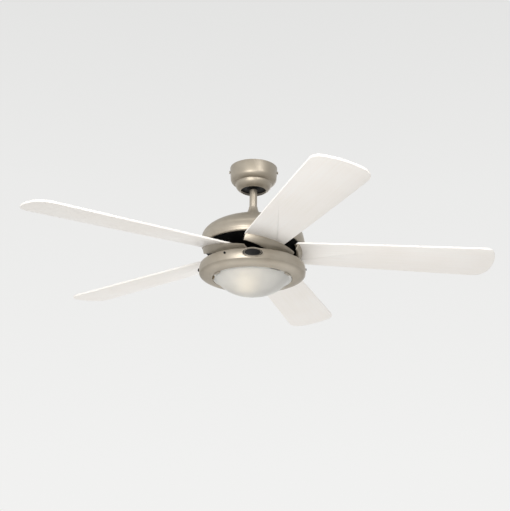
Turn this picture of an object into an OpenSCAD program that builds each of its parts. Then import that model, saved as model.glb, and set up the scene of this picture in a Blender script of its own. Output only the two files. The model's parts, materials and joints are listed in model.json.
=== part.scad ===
/* [Blades] */
// Sweep across the blade tips
sweep_d = 1320; // [1100:10:1500]
// Width of a blade beside the hub
blade_root_w = 108; // [90:1:115]
// Width of a blade just inside its tip
blade_tip_w = 146; // [110:1:170]
// Thickness of a blade
blade_t = 5.5; // [4:0.5:8]
// Pitch of a blade about its length, in degrees
blade_pitch = 10.2; // [6:0.1:12]
// Droop of a blade from the hub to its tip, in degrees
blade_droop = 2.1; // [0:0.1:3]
// Bow of the tip edge between its corners
tip_bow = 17; // [5:1:30]
// Radius of the tip corner on the raised edge
tip_corner_raised_r = 20; // [10:1:34]
// Radius of the tip corner on the low edge
tip_corner_low_r = 30; // [10:1:34]
// Distance from the axis to a blade's inner end
blade_inner_r = 98; // [96:1:102]

/* [Ceiling mount] */
// Radius of the canopy where it meets the ceiling
canopy_r = 67; // [66:0.5:80]
// Radius of the hole in the canopy that the downrod hangs through
canopy_hole_r = 36; // [34:0.5:38]
// Depth of the canopy below the ceiling
canopy_h = 69; // [67:0.5:74]
// Sheet thickness of the canopy
canopy_wall = 1.2; // [0.8:0.1:1.6]
// Steel thickness of the hanger bracket
bracket_t = 2.5; // [2:0.5:3]
// Distance between the centres of the two ceiling screw slots
slot_pitch = 88.9; // [84:0.1:92]
// Width of a ceiling screw slot
slot_w = 5.5; // [4.5:0.1:6.5]
// Length of a ceiling screw slot from end to end
slot_l = 14; // [10:0.5:16]

/* [Downrod] */
// Outside diameter of the downrod
rod_d = 21.3; // [19:0.1:22]
// Wall thickness of the downrod
rod_wall = 2.3; // [1.5:0.1:3]
// Radius of the hanger ball
ball_r = 27; // [26:0.5:29]
// Depth of the hanger ball's centre below the ceiling
ball_drop = 42; // [41:0.5:44]

/* [Top housing] */
// Depth of the flat top of the top housing below the ceiling
dome_top_drop = 152.4; // [150:0.5:180]
// Largest radius of the top housing
dome_r = 144; // [142:0.5:150]
// Height of the top housing
dome_h = 85; // [83:0.5:90]
// Sheet thickness of the housings
sheet_t = 1.5; // [1:0.1:1.8]

/* [Motor] */
// Radius of the fixed shaft
shaft_r = 8; // [7:0.1:8.5]
// Outside radius of the rotor shells
rotor_r = 92; // [90:0.5:96]
// Radius of the stator core
stator_r = 70; // [64:0.5:72]
// Air gap between the stator and the rotor ring
air_gap = 0.8; // [0.6:0.1:1.5]
// Radial running clearance of the balls in their races
ball_gap = 0.05; // [0.04:0.01:0.08]

/* [Light] */
// Largest radius of the light housing
ring_r = 146; // [144:0.5:150]
// Height of the light housing
ring_h = 40.7; // [40:0.1:43]
// Gap between the bottom of the rotor cover and the top of the light housing
ring_gap = 6.3; // [6:0.1:10]
// Radius of the hole that the glass hangs through
glass_hole_r = 108.4; // [104:0.1:112]
// Depth of the glass below the light housing
glass_drop = 42; // [38:0.5:60]
// Thickness of the glass
glass_t = 3; // [2.5:0.1:4]
// Turn that frees the glass from its tabs, in degrees
glass_turn = 25; // [20:1:35]

/* [Hidden] */
$fn = 96;
eps = 0.01;
gap = 0.3;
screw_r = 2;
blade_count = 5;
step_a = 360 / blade_count;

// Ceiling mount
ear_x = canopy_r - 3.5;
ear_w = 16;
ear_drop = 24;
plate_x = 54;
plate_w = 40;
arm_x = ball_r + 8.5;
arm_w = 30;
seat_drop = ball_drop + 20;
seat_r = ball_r + 9;
canopy_screw_drop = 12;
canopy_screw_r = 2;
canopy_step_r = canopy_r - 16;
canopy_step_drop = 47.5;
canopy_round_r = 16;
canopy_low_round_r = canopy_h - canopy_step_drop - 0.5;
wire_hole_r = 8;
wire_hole_x = -20;
earth_x = 14;
earth_y = 12;
mouth_w = rod_d + 3;
nut_count = 3;

// Hanging rod and coupling
rod_r = rod_d / 2;
rod_bore_r = rod_r - rod_wall;
ball_z = -ball_drop;
ball_flat = 20;
rod_top_z = ball_z + 28;
yoke_wall = 3.8;
yoke_r = rod_r + yoke_wall;
slide_gap = 0.1;
dome_top_z = -dome_top_drop;
flange_r = 42;
flange_t = 4;
flange_z = dome_top_z - sheet_t;
yoke_top_z = dome_top_z + 10;
rod_end_z = flange_z - 10;
yoke_end_z = rod_end_z - 10;
pin_r = 3;
ball_pin_l = 34;
clevis_z = dome_top_z + 3.5;
clevis_l = 36;
cover_top_z = dome_top_z + 34;
cover_r = 30;
cover_t = 1.2;
cover_lift = 1.1;
cover_flare = 1.7;
housing_screw_count = 3;
housing_screw_ring = 37;

// Top housing
dome_rim_z = dome_top_z - dome_h;
dome_flat_r = 44;
dome_hole_r = 23;
crease_r = dome_r - 3;
crease_z = dome_rim_z + 24;
rim_r = dome_r - 2.3;

// Motor
rotor_top_z = yoke_end_z - 6.6;
shell_t = 3;
stack_h = 26;
stack_z = rotor_top_z - 15 - stack_h;
rotor_ring_r = rotor_r - 4;
rotor_end_z = stack_z - 17;
shell_split_z = stack_z + stack_h / 2;
lug_r = 5;
lug_ring = rotor_r + 4.3;
lug_h = 8;
race_h = 9;
race_r = 2 * shaft_r;
ball_ring_r = 1.5 * shaft_r;
race_ball_r = 2;
race_lip = 0.55;
race_ball_count = 9;
top_race_z = rotor_top_z - race_h - 1;
low_race_z = rotor_end_z + 1;
tooth_count = 16;
tooth_w = 10;
core_back_r = 38;
vent_count = 10;

// Rotor cover and blade carriers
cover_rim_r = dome_r - 8;
cover_rim_z = dome_rim_z - 6.1;
cover_mid_r = dome_r - 26;
cover_mid_z = cover_rim_z - 19.5;
cover_low_r = 96;
cover_low_z = cover_rim_z - 33.5;
cover_flat_r = 84;
cover_hole_r = 56;
cover_z = cover_rim_z - 41;
blade_z = cover_rim_z - 11.6;
blade_offset = 7.5;
root_toe = 28;
root_toe_w = 30;
skirt_r = dome_r - 6;
skirt_arc_r = 40;
skirt_z = blade_z + 6.1;
skirt_t = 3;
skirt_cut_z = blade_z - 28;
skirt_cut_pitch = 15.5;
pad_t = 3.2;
pad_low_w = 48;
skirt_low_w = 88;
post_in = 64;
post_out = 84;
post_w = 28;
arm_screw_ring = 74;
arm_screw_w = 9;
blade_screw_x = [112, 112, 126];
blade_screw_y = [-32, 22, -5];

// Light housing and glass
ring_top_z = cover_z - ring_gap;
ring_low_z = ring_top_z - ring_h;
ring_mouth_r = ring_r - 7;
ring_crease_r = ring_r - 1.2;
ring_crease_z = ring_top_z - 28.6;
ring_bulge = 1.3;
ring_low_curve = ring_crease_r - glass_hole_r - 5.6;
ring_low_turn = 68;
plate_z = ring_top_z - 13;
plate_r = ring_r - 4.5;
plate_t = 1.5;
ring_screw_count = 3;
ring_screw_r = 1.5;
ring_screw_z = ring_top_z - 10;
shaft_end_z = plate_z - 12;
tab_count = 3;
tab_a = 14;
tab_first = -30;
flange_h = 4.2;
glass_rim_r = glass_hole_r - 0.6;
glass_neck_r = glass_rim_r - 5;
glass_rim_z = ring_low_z + 0.2;
glass_end_z = ring_low_z - glass_drop;
glass_power = 2.7;
tab_in_r = glass_neck_r + 1.2;
badge_z = ring_top_z - 14.2;
badge_w = 56;
badge_h = 25;
badge_t = 1.4;
badge_pad = 0.4;
switch_z = ring_top_z - 13;
switch_travel = 5;
switch_w = 8;
switch_h = 18;
knob_w = 5;
knob_h = 7;
bulb_x = -18;
bulb_z = ring_top_z - 48;
bulb_r = 24;

// Points of a circle's arc, from one angle to another
function arc(cx, cy, r, a0, a1, n) =
    [for (i = [0:n]) [cx + r * cos(a0 + (a1 - a0) * i / n), cy + r * sin(a0 + (a1 - a0) * i / n)]];

// Unit normal to the left of the way from a to b
function left(a, b) = let (d = b - a) [-d[1], d[0]] / norm(d);

// Normal of a line of points at point i, lengthened at corners to keep the distance
function corner(p, i) =
    let (n = len(p) - 1,
         before = left(p[max(i - 1, 0)], p[max(i, 1)]),
         after = left(p[min(i, n - 1)], p[min(i + 1, n)]),
         m = before + after)
    2 * m / (m * m);

// Closed section of a sheet that lies to the left of a line of points
function sheet(p, t) =
    concat(p, [for (i = [len(p) - 1:-1:0]) p[i] + t * corner(p, i)]);

// Fixes its children at equal steps round the axis
module around(count, first = 0) {
    for (i = [0:count - 1]) {
        rotate([0, 0, first + i * 360 / count]) children();
    }
}

// Round bar between two heights
module bar(r, low, high) {
    translate([0, 0, low]) cylinder(r = r, h = high - low);
}

// Round tube between two heights
module tube(outer_r, inner_r, low, high) {
    difference() {
        bar(outer_r, low, high);
        bar(inner_r, low - 1, high + 1);
    }
}

// Pan head screw with its head's seat at z = 0, its head up and its shank down
module screw(r, length) {
    head_h = 1.3 * r;
    slot = 0.4 * r;
    difference() {
        union() {
            bar(2 * r, 0, head_h);
            bar(r, -length, eps);
        }
        translate([-2 * r - 1, -slot / 2, head_h / 2]) cube([4 * r + 2, slot, head_h]);
        translate([-slot / 2, -2 * r - 1, head_h / 2]) cube([slot, 4 * r + 2, head_h]);
    }
}

module mounting_bracket() {
    color("dimgray") difference() {
        union() {
            translate([-plate_x, -plate_w / 2, -bracket_t]) cube([2 * plate_x, plate_w, bracket_t]);
            translate([-ear_x, -ear_w / 2, -bracket_t]) cube([2 * ear_x, ear_w, bracket_t]);
            for (side = [0, 1]) mirror([side, 0, 0]) {
                translate([ear_x - bracket_t, -ear_w / 2, -ear_drop])
                    cube([bracket_t, ear_w, ear_drop]);
                translate([arm_x - bracket_t, -arm_w / 2, -seat_drop])
                    cube([bracket_t, arm_w, seat_drop]);
            }
            bar(seat_r, -seat_drop, bracket_t - seat_drop);
        }
        for (side = [-1, 1]) {
            ceiling_slot(side * slot_pitch / 2);
        }
        translate([wire_hole_x, 0, 0]) bar(wire_hole_r, -bracket_t - 1, 1);
        translate([earth_x, earth_y, 0]) bar(screw_r + eps, -bracket_t - 1, 1);
        translate([0, 0, ball_z]) sphere(r = ball_r + gap);
        translate([-mouth_w / 2, -seat_r - 1, -seat_drop - 1]) cube([mouth_w, seat_r + 1, bracket_t + 2]);
        translate([0, 0, -canopy_screw_drop]) rotate([0, 90, 0])
            bar(canopy_screw_r + eps, -ear_x - 1, ear_x + 1);
    }
}

// Slotted hole through the bracket's plate, along x
module ceiling_slot(x) {
    run = (slot_l - slot_w) / 2;
    for (dx = [-run, run]) {
        translate([x + dx, 0, 0]) bar(slot_w / 2, -bracket_t - 1, 1);
    }
    translate([x - run, -slot_w / 2, -bracket_t - 1]) cube([2 * run, slot_w, bracket_t + 2]);
}

module earth_screw() {
    color("seagreen") translate([earth_x, earth_y, -bracket_t]) rotate([180, 0, 0])
        screw(screw_r, bracket_t - 0.5);
}

// Outside of the canopy, from the hole up to the ceiling
function canopy_line() = concat(
    [[canopy_hole_r, -canopy_h]],
    arc(canopy_step_r - canopy_low_round_r, canopy_low_round_r - canopy_h,
        canopy_low_round_r, -72, 0, 8),
    [[canopy_step_r, -canopy_step_drop]],
    arc(canopy_r - 2 - canopy_round_r, canopy_round_r - canopy_step_drop,
        canopy_round_r, -80, 0, 8),
    [[canopy_r, -eps]]);

module canopy() {
    color("tan") difference() {
        rotate_extrude() polygon(sheet(canopy_line(), canopy_wall));
        translate([0, 0, -canopy_screw_drop]) rotate([0, 90, 0])
            bar(canopy_screw_r + 0.3, -canopy_r - 1, canopy_r + 1);
    }
}

module canopy_screws() {
    reach = canopy_r - 0.2;
    color("tan") for (a = [0, 180]) rotate([0, 0, a])
        translate([reach, 0, -canopy_screw_drop]) rotate([0, 90, 0])
            screw(canopy_screw_r, reach - ear_x + 2 * bracket_t);
}

module wire_connectors() {
    color("orange") for (i = [0:nut_count - 1])
        translate([14 * (i - 1), -40, -34]) cylinder(r1 = 3, r2 = 5.5, h = 20);
}

module hanger_ball() {
    color("dimgray") difference() {
        intersection() {
            translate([0, 0, ball_z]) sphere(r = ball_r);
            bar(ball_r, ball_z - ball_r, ball_z + ball_flat);
        }
        bar(rod_r + slide_gap, ball_z - ball_r - 1, ball_z + ball_r);
        translate([0, 0, ball_z + ball_flat / 2]) rotate([90, 0, 0])
            bar(pin_r + slide_gap, -ball_r, ball_r);
        translate([0, 0, ball_z - 6]) rotate([0, 90, 0]) bar(screw_r + eps, rod_r, ball_r);
        translate([-ball_r - 1, -2, ball_z - 4]) cube([7, 4, ball_r]);
    }
}

module ball_pin() {
    color("silver") translate([0, 0, ball_z + ball_flat / 2]) rotate([90, 0, 0])
        bar(pin_r, -ball_pin_l / 2, ball_pin_l / 2);
}

module ball_set_screw() {
    color("dimgray") translate([0, 0, ball_z - 6]) rotate([0, 90, 0]) difference() {
        bar(2, rod_r + eps, ball_r - 3);
        translate([-0.5, -3, ball_r - 4]) cube([1, 6, 2]);
    }
}

module downrod() {
    color("tan") difference() {
        tube(rod_r, rod_bore_r, rod_end_z, rod_top_z);
        translate([0, 0, ball_z + ball_flat / 2]) rotate([90, 0, 0])
            bar(pin_r + slide_gap, -rod_d, rod_d);
        translate([0, 0, clevis_z]) rotate([0, 90, 0]) bar(pin_r + slide_gap, -rod_d, rod_d);
    }
}

module motor_coupling() {
    color("silver") difference() {
        union() {
            bar(yoke_r, yoke_end_z, yoke_top_z);
            bar(flange_r, flange_z - flange_t, flange_z);
        }
        bar(rod_r + slide_gap, rod_end_z, yoke_top_z + 1);
        bar(shaft_r + slide_gap, yoke_end_z - 1, rod_end_z - 3);
        bar(shaft_r - 2, yoke_end_z, rod_end_z + 1);
        translate([0, 0, clevis_z]) rotate([0, 90, 0])
            bar(pin_r + slide_gap, -flange_r, flange_r);
        translate([0, 0, clevis_z]) rotate([90, 0, 0]) bar(screw_r + eps, -flange_r, flange_r);
        around(housing_screw_count, 60) translate([housing_screw_ring, 0, 0])
            bar(screw_r + eps, flange_z - flange_t - 1, flange_z + 1);
    }
}

module clevis_pin() {
    color("silver") translate([0, 0, clevis_z]) rotate([0, 90, 0]) difference() {
        union() {
            bar(pin_r, -clevis_l / 2, clevis_l / 2);
            bar(1.6 * pin_r, -clevis_l / 2, 2 - clevis_l / 2);
        }
        translate([0, 0, clevis_l / 2 - 3]) rotate([90, 0, 0]) bar(0.9, -pin_r - 1, pin_r + 1);
    }
}

module hitch_pin() {
    color("gray") translate([clevis_l / 2 - 3, 0, clevis_z]) {
        rotate([90, 0, 0]) bar(0.7, -4.4, 8);
        translate([0, 7, 0]) rotate([0, 90, 0]) rotate_extrude() translate([2.6, 0]) circle(r = 0.8);
    }
}

module coupling_set_screws() {
    color("dimgray") for (a = [0, 180]) rotate([0, 0, a])
        translate([0, 0, clevis_z]) rotate([90, 0, 0]) difference() {
            bar(2, rod_r + eps, yoke_r + 3);
            translate([-0.5, -3, yoke_r + 2]) cube([1, 6, 2]);
        }
}

// Outside of the coupling cover, from its foot up to the rod
function cover_line() = [for (t = [0:0.1:1])
    [rod_r + gap + cover_t + (cover_r - rod_r - gap - cover_t) * pow(1 - t, cover_flare),
     dome_top_z + cover_lift + (cover_top_z - dome_top_z - cover_lift) * t]];

module coupling_cover() {
    color("tan") rotate_extrude() polygon(sheet(cover_line(), cover_t));
}

// Outside of the top housing, from its lip up to the flat top
function dome_line() = concat(
    [[rim_r - 7, dome_rim_z - 3.2]],
    arc(rim_r - 5, dome_rim_z + 1.6, 5, -80, 0, 6),
    [[dome_r, dome_rim_z + 8], [dome_r - 0.4, dome_rim_z + 14], [dome_r - 1.5, dome_rim_z + 20]],
    [for (i = [0:12]) let (a = 90 * i / 12)
        [dome_flat_r + (crease_r - dome_flat_r) * pow(cos(a), 2),
         crease_z + (dome_top_z - crease_z) * sin(a)]],
    [[dome_hole_r, dome_top_z]]);

module top_housing() {
    color("tan") difference() {
        rotate_extrude() polygon(sheet(dome_line(), sheet_t));
        around(housing_screw_count, 60) translate([housing_screw_ring, 0, 0])
            bar(screw_r + gap, dome_top_z - sheet_t - 1, dome_top_z + 1);
    }
}

module housing_screws() {
    color("tan") around(housing_screw_count, 60) translate([housing_screw_ring, 0, dome_top_z])
        screw(screw_r, sheet_t + flange_t);
}

module motor_shaft() {
    color("silver") tube(shaft_r, shaft_r - 3, shaft_end_z, rod_end_z - 3 - eps);
}

// Section of one bearing race between two radii, with its ball groove
module race(inner_r, outer_r) {
    rotate_extrude() difference() {
        translate([inner_r, 0]) square([outer_r - inner_r, race_h]);
        translate([ball_ring_r, race_h / 2]) circle(r = race_ball_r + ball_gap);
    }
}

module bearing_inner_races() {
    color("silver") for (z = [top_race_z, low_race_z]) translate([0, 0, z])
        race(shaft_r + eps, ball_ring_r - race_lip);
}

module bearing_outer_races() {
    color("silver") for (z = [top_race_z, low_race_z]) translate([0, 0, z])
        race(ball_ring_r + race_lip, race_r);
}

module bearing_balls() {
    color("lightgray") for (z = [top_race_z, low_race_z]) translate([0, 0, z + race_h / 2])
        around(race_ball_count) translate([ball_ring_r, 0, 0]) sphere(r = race_ball_r);
}

module stator_core() {
    neck = 2;
    slot_out = stator_r - 5;
    color("slategray") difference() {
        tube(stator_r, shaft_r + eps, stack_z, stack_z + stack_h);
        around(tooth_count) translate([0, 0, stack_z - 1]) {
            linear_extrude(stack_h + 2) polygon(slot_line(slot_out));
            translate([slot_out - 1, -neck / 2, 0]) cube([10, neck, stack_h + 2]);
        }
        around(tooth_count / 2) translate([22, 0, 0]) bar(5, stack_z - 1, stack_z + stack_h + 1);
    }
}

// Outline of a winding slot between two teeth
function slot_line(out) =
    let (half = 180 / tooth_count,
         w_in = core_back_r * tan(half) - tooth_w / 2 / cos(half),
         w_out = out * tan(half) - tooth_w / 2 / cos(half))
    [[core_back_r, -w_in], [out, -w_out], [out, w_out], [core_back_r, w_in]];

module stator_windings() {
    over = 5;
    long_in = core_back_r + 3;
    long_out = stator_r - 6.5;
    inner = tooth_w + 0.6;
    color("peru") around(tooth_count, 180 / tooth_count) difference() {
        translate([long_in, -inner / 2 - 1.6, stack_z - over])
            cube([long_out - long_in, inner + 3.2, stack_h + 2 * over]);
        translate([long_in - 1, -inner / 2, stack_z - 0.3])
            cube([long_out - long_in + 2, inner, stack_h + 0.6]);
    }
}

module rotor_ring() {
    color("slategray") tube(rotor_ring_r, stator_r + air_gap, stack_z, stack_z + stack_h);
}

// Half of the rotor's case, from its face to the split, with the ring's seat inside it
module rotor_shell(face, split, seat, race_low) {
    up = face > split ? 1 : -1;
    low = min(face, split);
    high = max(face, split);
    step_r = stator_r + air_gap + 1;
    difference() {
        union() {
            difference() {
                bar(rotor_r, low, high);
                bar(rotor_ring_r + eps, min(split - up, seat), max(split - up, seat));
                bar(step_r, min(split, face - up * shell_t), max(split, face - up * shell_t));
            }
            bar(race_r + 3, race_low - 0.6, race_low + race_h + 0.6);
            around(blade_count, 36) lug(min(split, split + up * lug_h), max(split, split + up * lug_h));
        }
        bar(race_r + eps, race_low - (up > 0 ? 2 : 0), race_low + race_h + (up > 0 ? 0 : 2));
        bar(ball_ring_r + 2, low - 1, high + 1);
        around(vent_count, 18) translate([52, 0, 0]) bar(6, low - 1, high + 1);
        around(blade_count, 36) translate([lug_ring, 0, 0]) bar(screw_r + eps, low - 1, high + 1);
    }
}

// Ear on the side of a rotor shell for the screw that joins the two shells
module lug(low, high) {
    translate([lug_ring, 0, 0]) bar(lug_r, low, high);
    translate([rotor_r - 3, 0.4 - lug_r, low]) cube([lug_ring - rotor_r + 3, 2 * lug_r - 0.8, high - low]);
}

module rotor_top_shell() {
    color("darkgray") rotor_shell(rotor_top_z, shell_split_z, stack_z + stack_h, top_race_z);
}

module rotor_bottom_shell() {
    color("darkgray") difference() {
        rotor_shell(rotor_end_z, shell_split_z - eps, stack_z, low_race_z);
        arm_screw_places() bar(screw_r + eps, rotor_end_z - 1, rotor_end_z + shell_t + 1);
    }
}

module rotor_screws() {
    color("silver") around(blade_count, 36) translate([lug_ring, 0, shell_split_z + lug_h])
        screw(screw_r, 2 * lug_h - 1);
}

// Places its children at the two fixing screws of each blade carrier
module arm_screw_places() {
    around(blade_count) for (y = [-arm_screw_w, arm_screw_w]) {
        translate([arm_screw_ring, y, 0]) children();
    }
}

// Moves its children from blade coordinates to the blade that points along +X. In blade
// coordinates the underside is z = 0, x is the distance from the axis and -y is the raised edge.
module on_blade() {
    translate([0, 0, blade_z]) rotate([0, blade_droop, 0]) rotate([-blade_pitch, 0, 0]) children();
}

// Outside of the rotor cover, from the hole out to the rim
function rotor_cover_line() = [
    [cover_hole_r, cover_z],
    [cover_flat_r, cover_z],
    [cover_low_r, cover_low_z],
    [cover_mid_r, cover_mid_z],
    [cover_rim_r, cover_rim_z - 1],
    [cover_rim_r, cover_rim_z]];

module rotor_cover() {
    clear = 1.5;
    over = 4;
    color("black") difference() {
        rotate_extrude() polygon(sheet(rotor_cover_line(), sheet_t));
        around(blade_count) on_blade()
            translate([cover_hole_r + 30, -blade_root_w / 2 - blade_offset - clear, -pad_t - clear])
                cube([cover_rim_r, blade_root_w + 2 * clear, pad_t + blade_t + clear + over]);
        around(blade_count) translate([arm_screw_ring, 0, 0])
            bar(screw_r + gap, cover_z - 1, cover_z + sheet_t + 1);
    }
}

module rotor_cover_screws() {
    color("dimgray") around(blade_count) translate([arm_screw_ring, 0, cover_z])
        rotate([180, 0, 0]) screw(screw_r, 12);
}

// Blade carrier under the blade that points along +X
module blade_carrier() {
    reach = 200;
    low_y = -blade_root_w / 2 - blade_offset;
    post_low = cover_z + sheet_t;
    color("tan") difference() {
        union() {
            intersection() {
                rotate_extrude() intersection() {
                    difference() {
                        translate([skirt_r - skirt_arc_r, skirt_z]) circle(r = skirt_arc_r);
                        translate([skirt_r - skirt_arc_r, skirt_z]) circle(r = skirt_arc_r - skirt_t);
                    }
                    translate([cover_low_r, -2 * reach]) square(2 * reach);
                }
                on_blade() translate([0, low_y, -reach]) cube([reach, skirt_low_w - low_y, reach]);
                translate([0, 0, skirt_cut_z]) rotate([-skirt_cut_pitch, 0, 0])
                    translate([0, -reach / 2, 0]) cube([reach, reach, reach]);
            }
            intersection() {
                on_blade() translate([post_out - 6, low_y, -pad_t])
                    cube([reach, pad_low_w - low_y, pad_t]);
                bar(skirt_r - 0.5, -2 * reach, 0);
            }
            intersection() {
                translate([post_in, -post_w / 2, post_low])
                    cube([post_out, post_w, rotor_end_z - eps - post_low]);
                union() {
                    bar(cover_flat_r - 2, post_low, 0);
                    bar(post_out + 4, blade_z - 12, 0);
                }
            }
        }
        on_blade() translate([post_out, -reach / 2, 0]) cube([reach, reach, reach / 2]);
        for (y = [-arm_screw_w, arm_screw_w]) {
            translate([arm_screw_ring, y, 0]) bar(screw_r + eps, rotor_end_z - 40, rotor_end_z + 1);
            translate([arm_screw_ring, y, 0]) bar(4.5, cover_z, rotor_end_z - 12);
        }
        translate([arm_screw_ring, 0, 0]) bar(screw_r + eps, cover_z, cover_z + 14);
        on_blade() blade_screw_places() bar(screw_r + eps, -pad_t - 8, 1);
    }
}

module carrier_screws() {
    color("silver") arm_screw_places() translate([0, 0, rotor_end_z - 12]) rotate([180, 0, 0])
        screw(screw_r, 14);
}

// Places its children at the three screws of a blade, in blade coordinates
module blade_screw_places() {
    for (i = [0:len(blade_screw_x) - 1]) {
        translate([blade_screw_x[i], blade_screw_y[i], 0]) children();
    }
}

// Half width of a blade at a share t of the way from its inner end to its tip
function half_w(t) = (blade_root_w + (blade_tip_w - blade_root_w) * (1.25 * t - 0.25 * t * t)) / 2;

// Outline of a blade: out along its low edge, round the tip and back along its raised edge
function blade_line() =
    let (tip_r = sweep_d / 2,
         corner_x = tip_r - tip_bow,
         low_x = corner_x - tip_corner_low_r,
         raised_x = corner_x - tip_corner_raised_r,
         half = blade_tip_w / 2)
    concat(
        [[blade_inner_r, half_w(0) - blade_offset - root_toe_w],
         [blade_inner_r - root_toe, half_w(0) - blade_offset]],
        [for (t = [0:0.125:1]) [blade_inner_r + (low_x - blade_inner_r) * t,
                                half_w(t) - blade_offset]],
        arc(low_x, half - blade_offset - tip_corner_low_r, tip_corner_low_r, 75, 15, 5),
        [for (t = [-0.5:0.25:0.75]) [tip_r - tip_bow * t * t, -half * t - blade_offset]],
        arc(raised_x, tip_corner_raised_r - half - blade_offset, tip_corner_raised_r, -15, -75, 5),
        [for (t = [1:-0.125:0]) [blade_inner_r + (raised_x - blade_inner_r) * t,
                                 -half_w(t) - blade_offset]]);

// Blade that points along +X
module blade() {
    color("white") on_blade() difference() {
        linear_extrude(blade_t) polygon(blade_line());
        blade_screw_places() bar(2.4, -1, blade_t + 1);
    }
}

module blade_washers() {
    color("dimgray") around(blade_count) on_blade() blade_screw_places()
        tube(5, 2.3, blade_t, blade_t + 0.8);
}

module blade_screws() {
    color("silver") around(blade_count) on_blade() blade_screw_places()
        translate([0, 0, blade_t + 0.8]) screw(screw_r, blade_t + pad_t + 2);
}

module light_plate() {
    color("white") difference() {
        union() {
            bar(plate_r, plate_z - plate_t, plate_z);
            tube(plate_r, plate_r - plate_t, plate_z - plate_t, ring_top_z - 4);
        }
        bar(shaft_r + slide_gap, plate_z - plate_t - 1, plate_z + 1);
        around(ring_screw_count) translate([0, 0, ring_screw_z]) rotate([0, 90, 0])
            bar(ring_screw_r + eps, plate_r - 5, plate_r + 1);
        translate([-plate_r - 1, -switch_w, plate_z - plate_t - 1]) cube([18, 2 * switch_w, 40]);
        for (x = [-12, 12]) translate([x, -20, 0]) bar(4, plate_z - plate_t - 1, plate_z + 1);
    }
}

module shaft_nut() {
    color("silver") difference() {
        translate([0, 0, plate_z - plate_t - 7]) cylinder(r = 14, h = 7 - eps, $fn = 6);
        bar(shaft_r + eps, plate_z - plate_t - 8, plate_z);
    }
}

// Outside of the light housing, from the glass hole out and up to its mouth
function ring_line() = concat(
    [[glass_hole_r, ring_low_z + 1.6], [glass_hole_r + 1.2, ring_low_z]],
    [for (i = [0:7]) let (a = ring_low_turn * i / 7)
        [ring_crease_r - ring_low_curve * (1 - sin(a) / sin(ring_low_turn)),
         ring_low_z + 0.8 + (ring_crease_z - ring_low_z - 0.8) * (1 - cos(a)) / (1 - cos(ring_low_turn))]],
    [for (i = [0:8]) let (t = i / 8)
        [ring_crease_r + (ring_mouth_r + 3 - ring_crease_r) * t * t * t + ring_bulge * sin(180 * t),
         ring_crease_z + 1 + (ring_top_z - 1.5 - ring_crease_z) * t]],
    [[ring_mouth_r, ring_top_z]]);

module light_housing() {
    slot_l = knob_h + switch_travel + 2;
    color("tan") difference() {
        union() {
            rotate_extrude() polygon(sheet(ring_line(), sheet_t));
            around(tab_count, tab_first) tab();
        }
        around(ring_screw_count) translate([0, 0, ring_screw_z]) rotate([0, 90, 0])
            bar(ring_screw_r + 0.3, plate_r, ring_r + 3);
        translate([-ring_r - 3, -knob_w / 2 - 0.5, switch_z - slot_l / 2])
            cube([12, knob_w + 1, slot_l]);
    }
}

// Tab of the light housing that a glass flange rests on
module tab() {
    intersection() {
        union() {
            tube(glass_hole_r + 3, tab_in_r, ring_low_z - 1.4, ring_low_z - 0.1);
            tube(glass_hole_r + 3, glass_hole_r + 0.2, ring_low_z - 1.4, ring_low_z + 1);
        }
        rotate([0, 0, -tab_a / 2]) translate([0, 0, ring_low_z - 2])
            cube([glass_hole_r + 5, glass_hole_r, 4]);
        rotate([0, 0, tab_a / 2]) translate([0, -glass_hole_r, ring_low_z - 2])
            cube([glass_hole_r + 5, glass_hole_r, 4]);
    }
}

module light_housing_screws() {
    color("dimgray") around(ring_screw_count) translate([ring_r + 0.1, 0, ring_screw_z])
        rotate([0, 90, 0]) screw(ring_screw_r, ring_r - plate_r + 3);
}

module badge() {
    back = [for (p = ring_line()) if (p[1] > ring_crease_z && p[1] < ring_top_z - 1)
        p + [badge_pad, 0]];
    back_top = back[len(back) - 1][0];
    front_r = ring_r + badge_pad + badge_t;
    color("black") intersection() {
        rotate_extrude() polygon(concat(
            back, [[back_top, ring_top_z], [front_r, ring_top_z], [front_r, back[0][1]]]));
        translate([0, 0, badge_z]) rotate([90, 0, 0]) linear_extrude(2 * ring_r)
            polygon([for (i = [0:47]) [badge_w / 2 * cos(7.5 * i), badge_h / 2 * sin(7.5 * i)]]);
    }
}

module capacitor() {
    color("dimgray") translate([-20, 52, plate_z - plate_t - 18]) cube([40, 22, 18 - eps]);
}

module plug_connector() {
    color("ivory") translate([-9, -62, plate_z - plate_t - 12]) {
        cube([18, 14, 12 - eps]);
        translate([2, 14 + eps, 2]) cube([14, 10, 8]);
    }
}

module reverse_switch_body() {
    back = 10;
    x = sheet_t + 3.2 - ring_r;
    color("black") difference() {
        translate([x, -switch_w / 2 - 1, switch_z - switch_h / 2]) cube([back, switch_w + 2, switch_h]);
        translate([x - 1, -knob_w / 2 - 0.5, switch_z - switch_h / 2 + 2])
            cube([6, knob_w + 1, switch_h - 4]);
    }
}

module reverse_switch_knob() {
    low = switch_z - switch_travel / 2 - knob_h / 2;
    color("black") translate([-ring_r - 3, -knob_w / 2, low]) cube([11, knob_w, knob_h]);
}

module lampholder_bracket() {
    color("silver") {
        translate([40, -14, bulb_z - 14]) cube([1.5, 28, plate_z - plate_t - eps - bulb_z + 14]);
        translate([40, -14, plate_z - plate_t - 1.5]) cube([16, 28, 1.5 - eps]);
    }
}

module lampholder() {
    color("white") translate([0, 0, bulb_z]) rotate([0, 90, 0]) difference() {
        bar(16, 14, 40 - eps);
        bar(13.4, 13, 34);
    }
}

module bulb_cap() {
    color("silver") translate([0, 0, bulb_z]) rotate([0, 90, 0]) {
        bar(13, 15, 32);
        bar(5, 32, 34 - eps);
    }
}

// Outline of the bulb, from its crown to its neck
function bulb_line() = concat(
    [[0, -bulb_r]],
    arc(0, 0, bulb_r, -80, 35, 10),
    [[12.4, 26], [12.4, 15 + 18]],
    [[0, 15 + 18]]);

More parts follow.
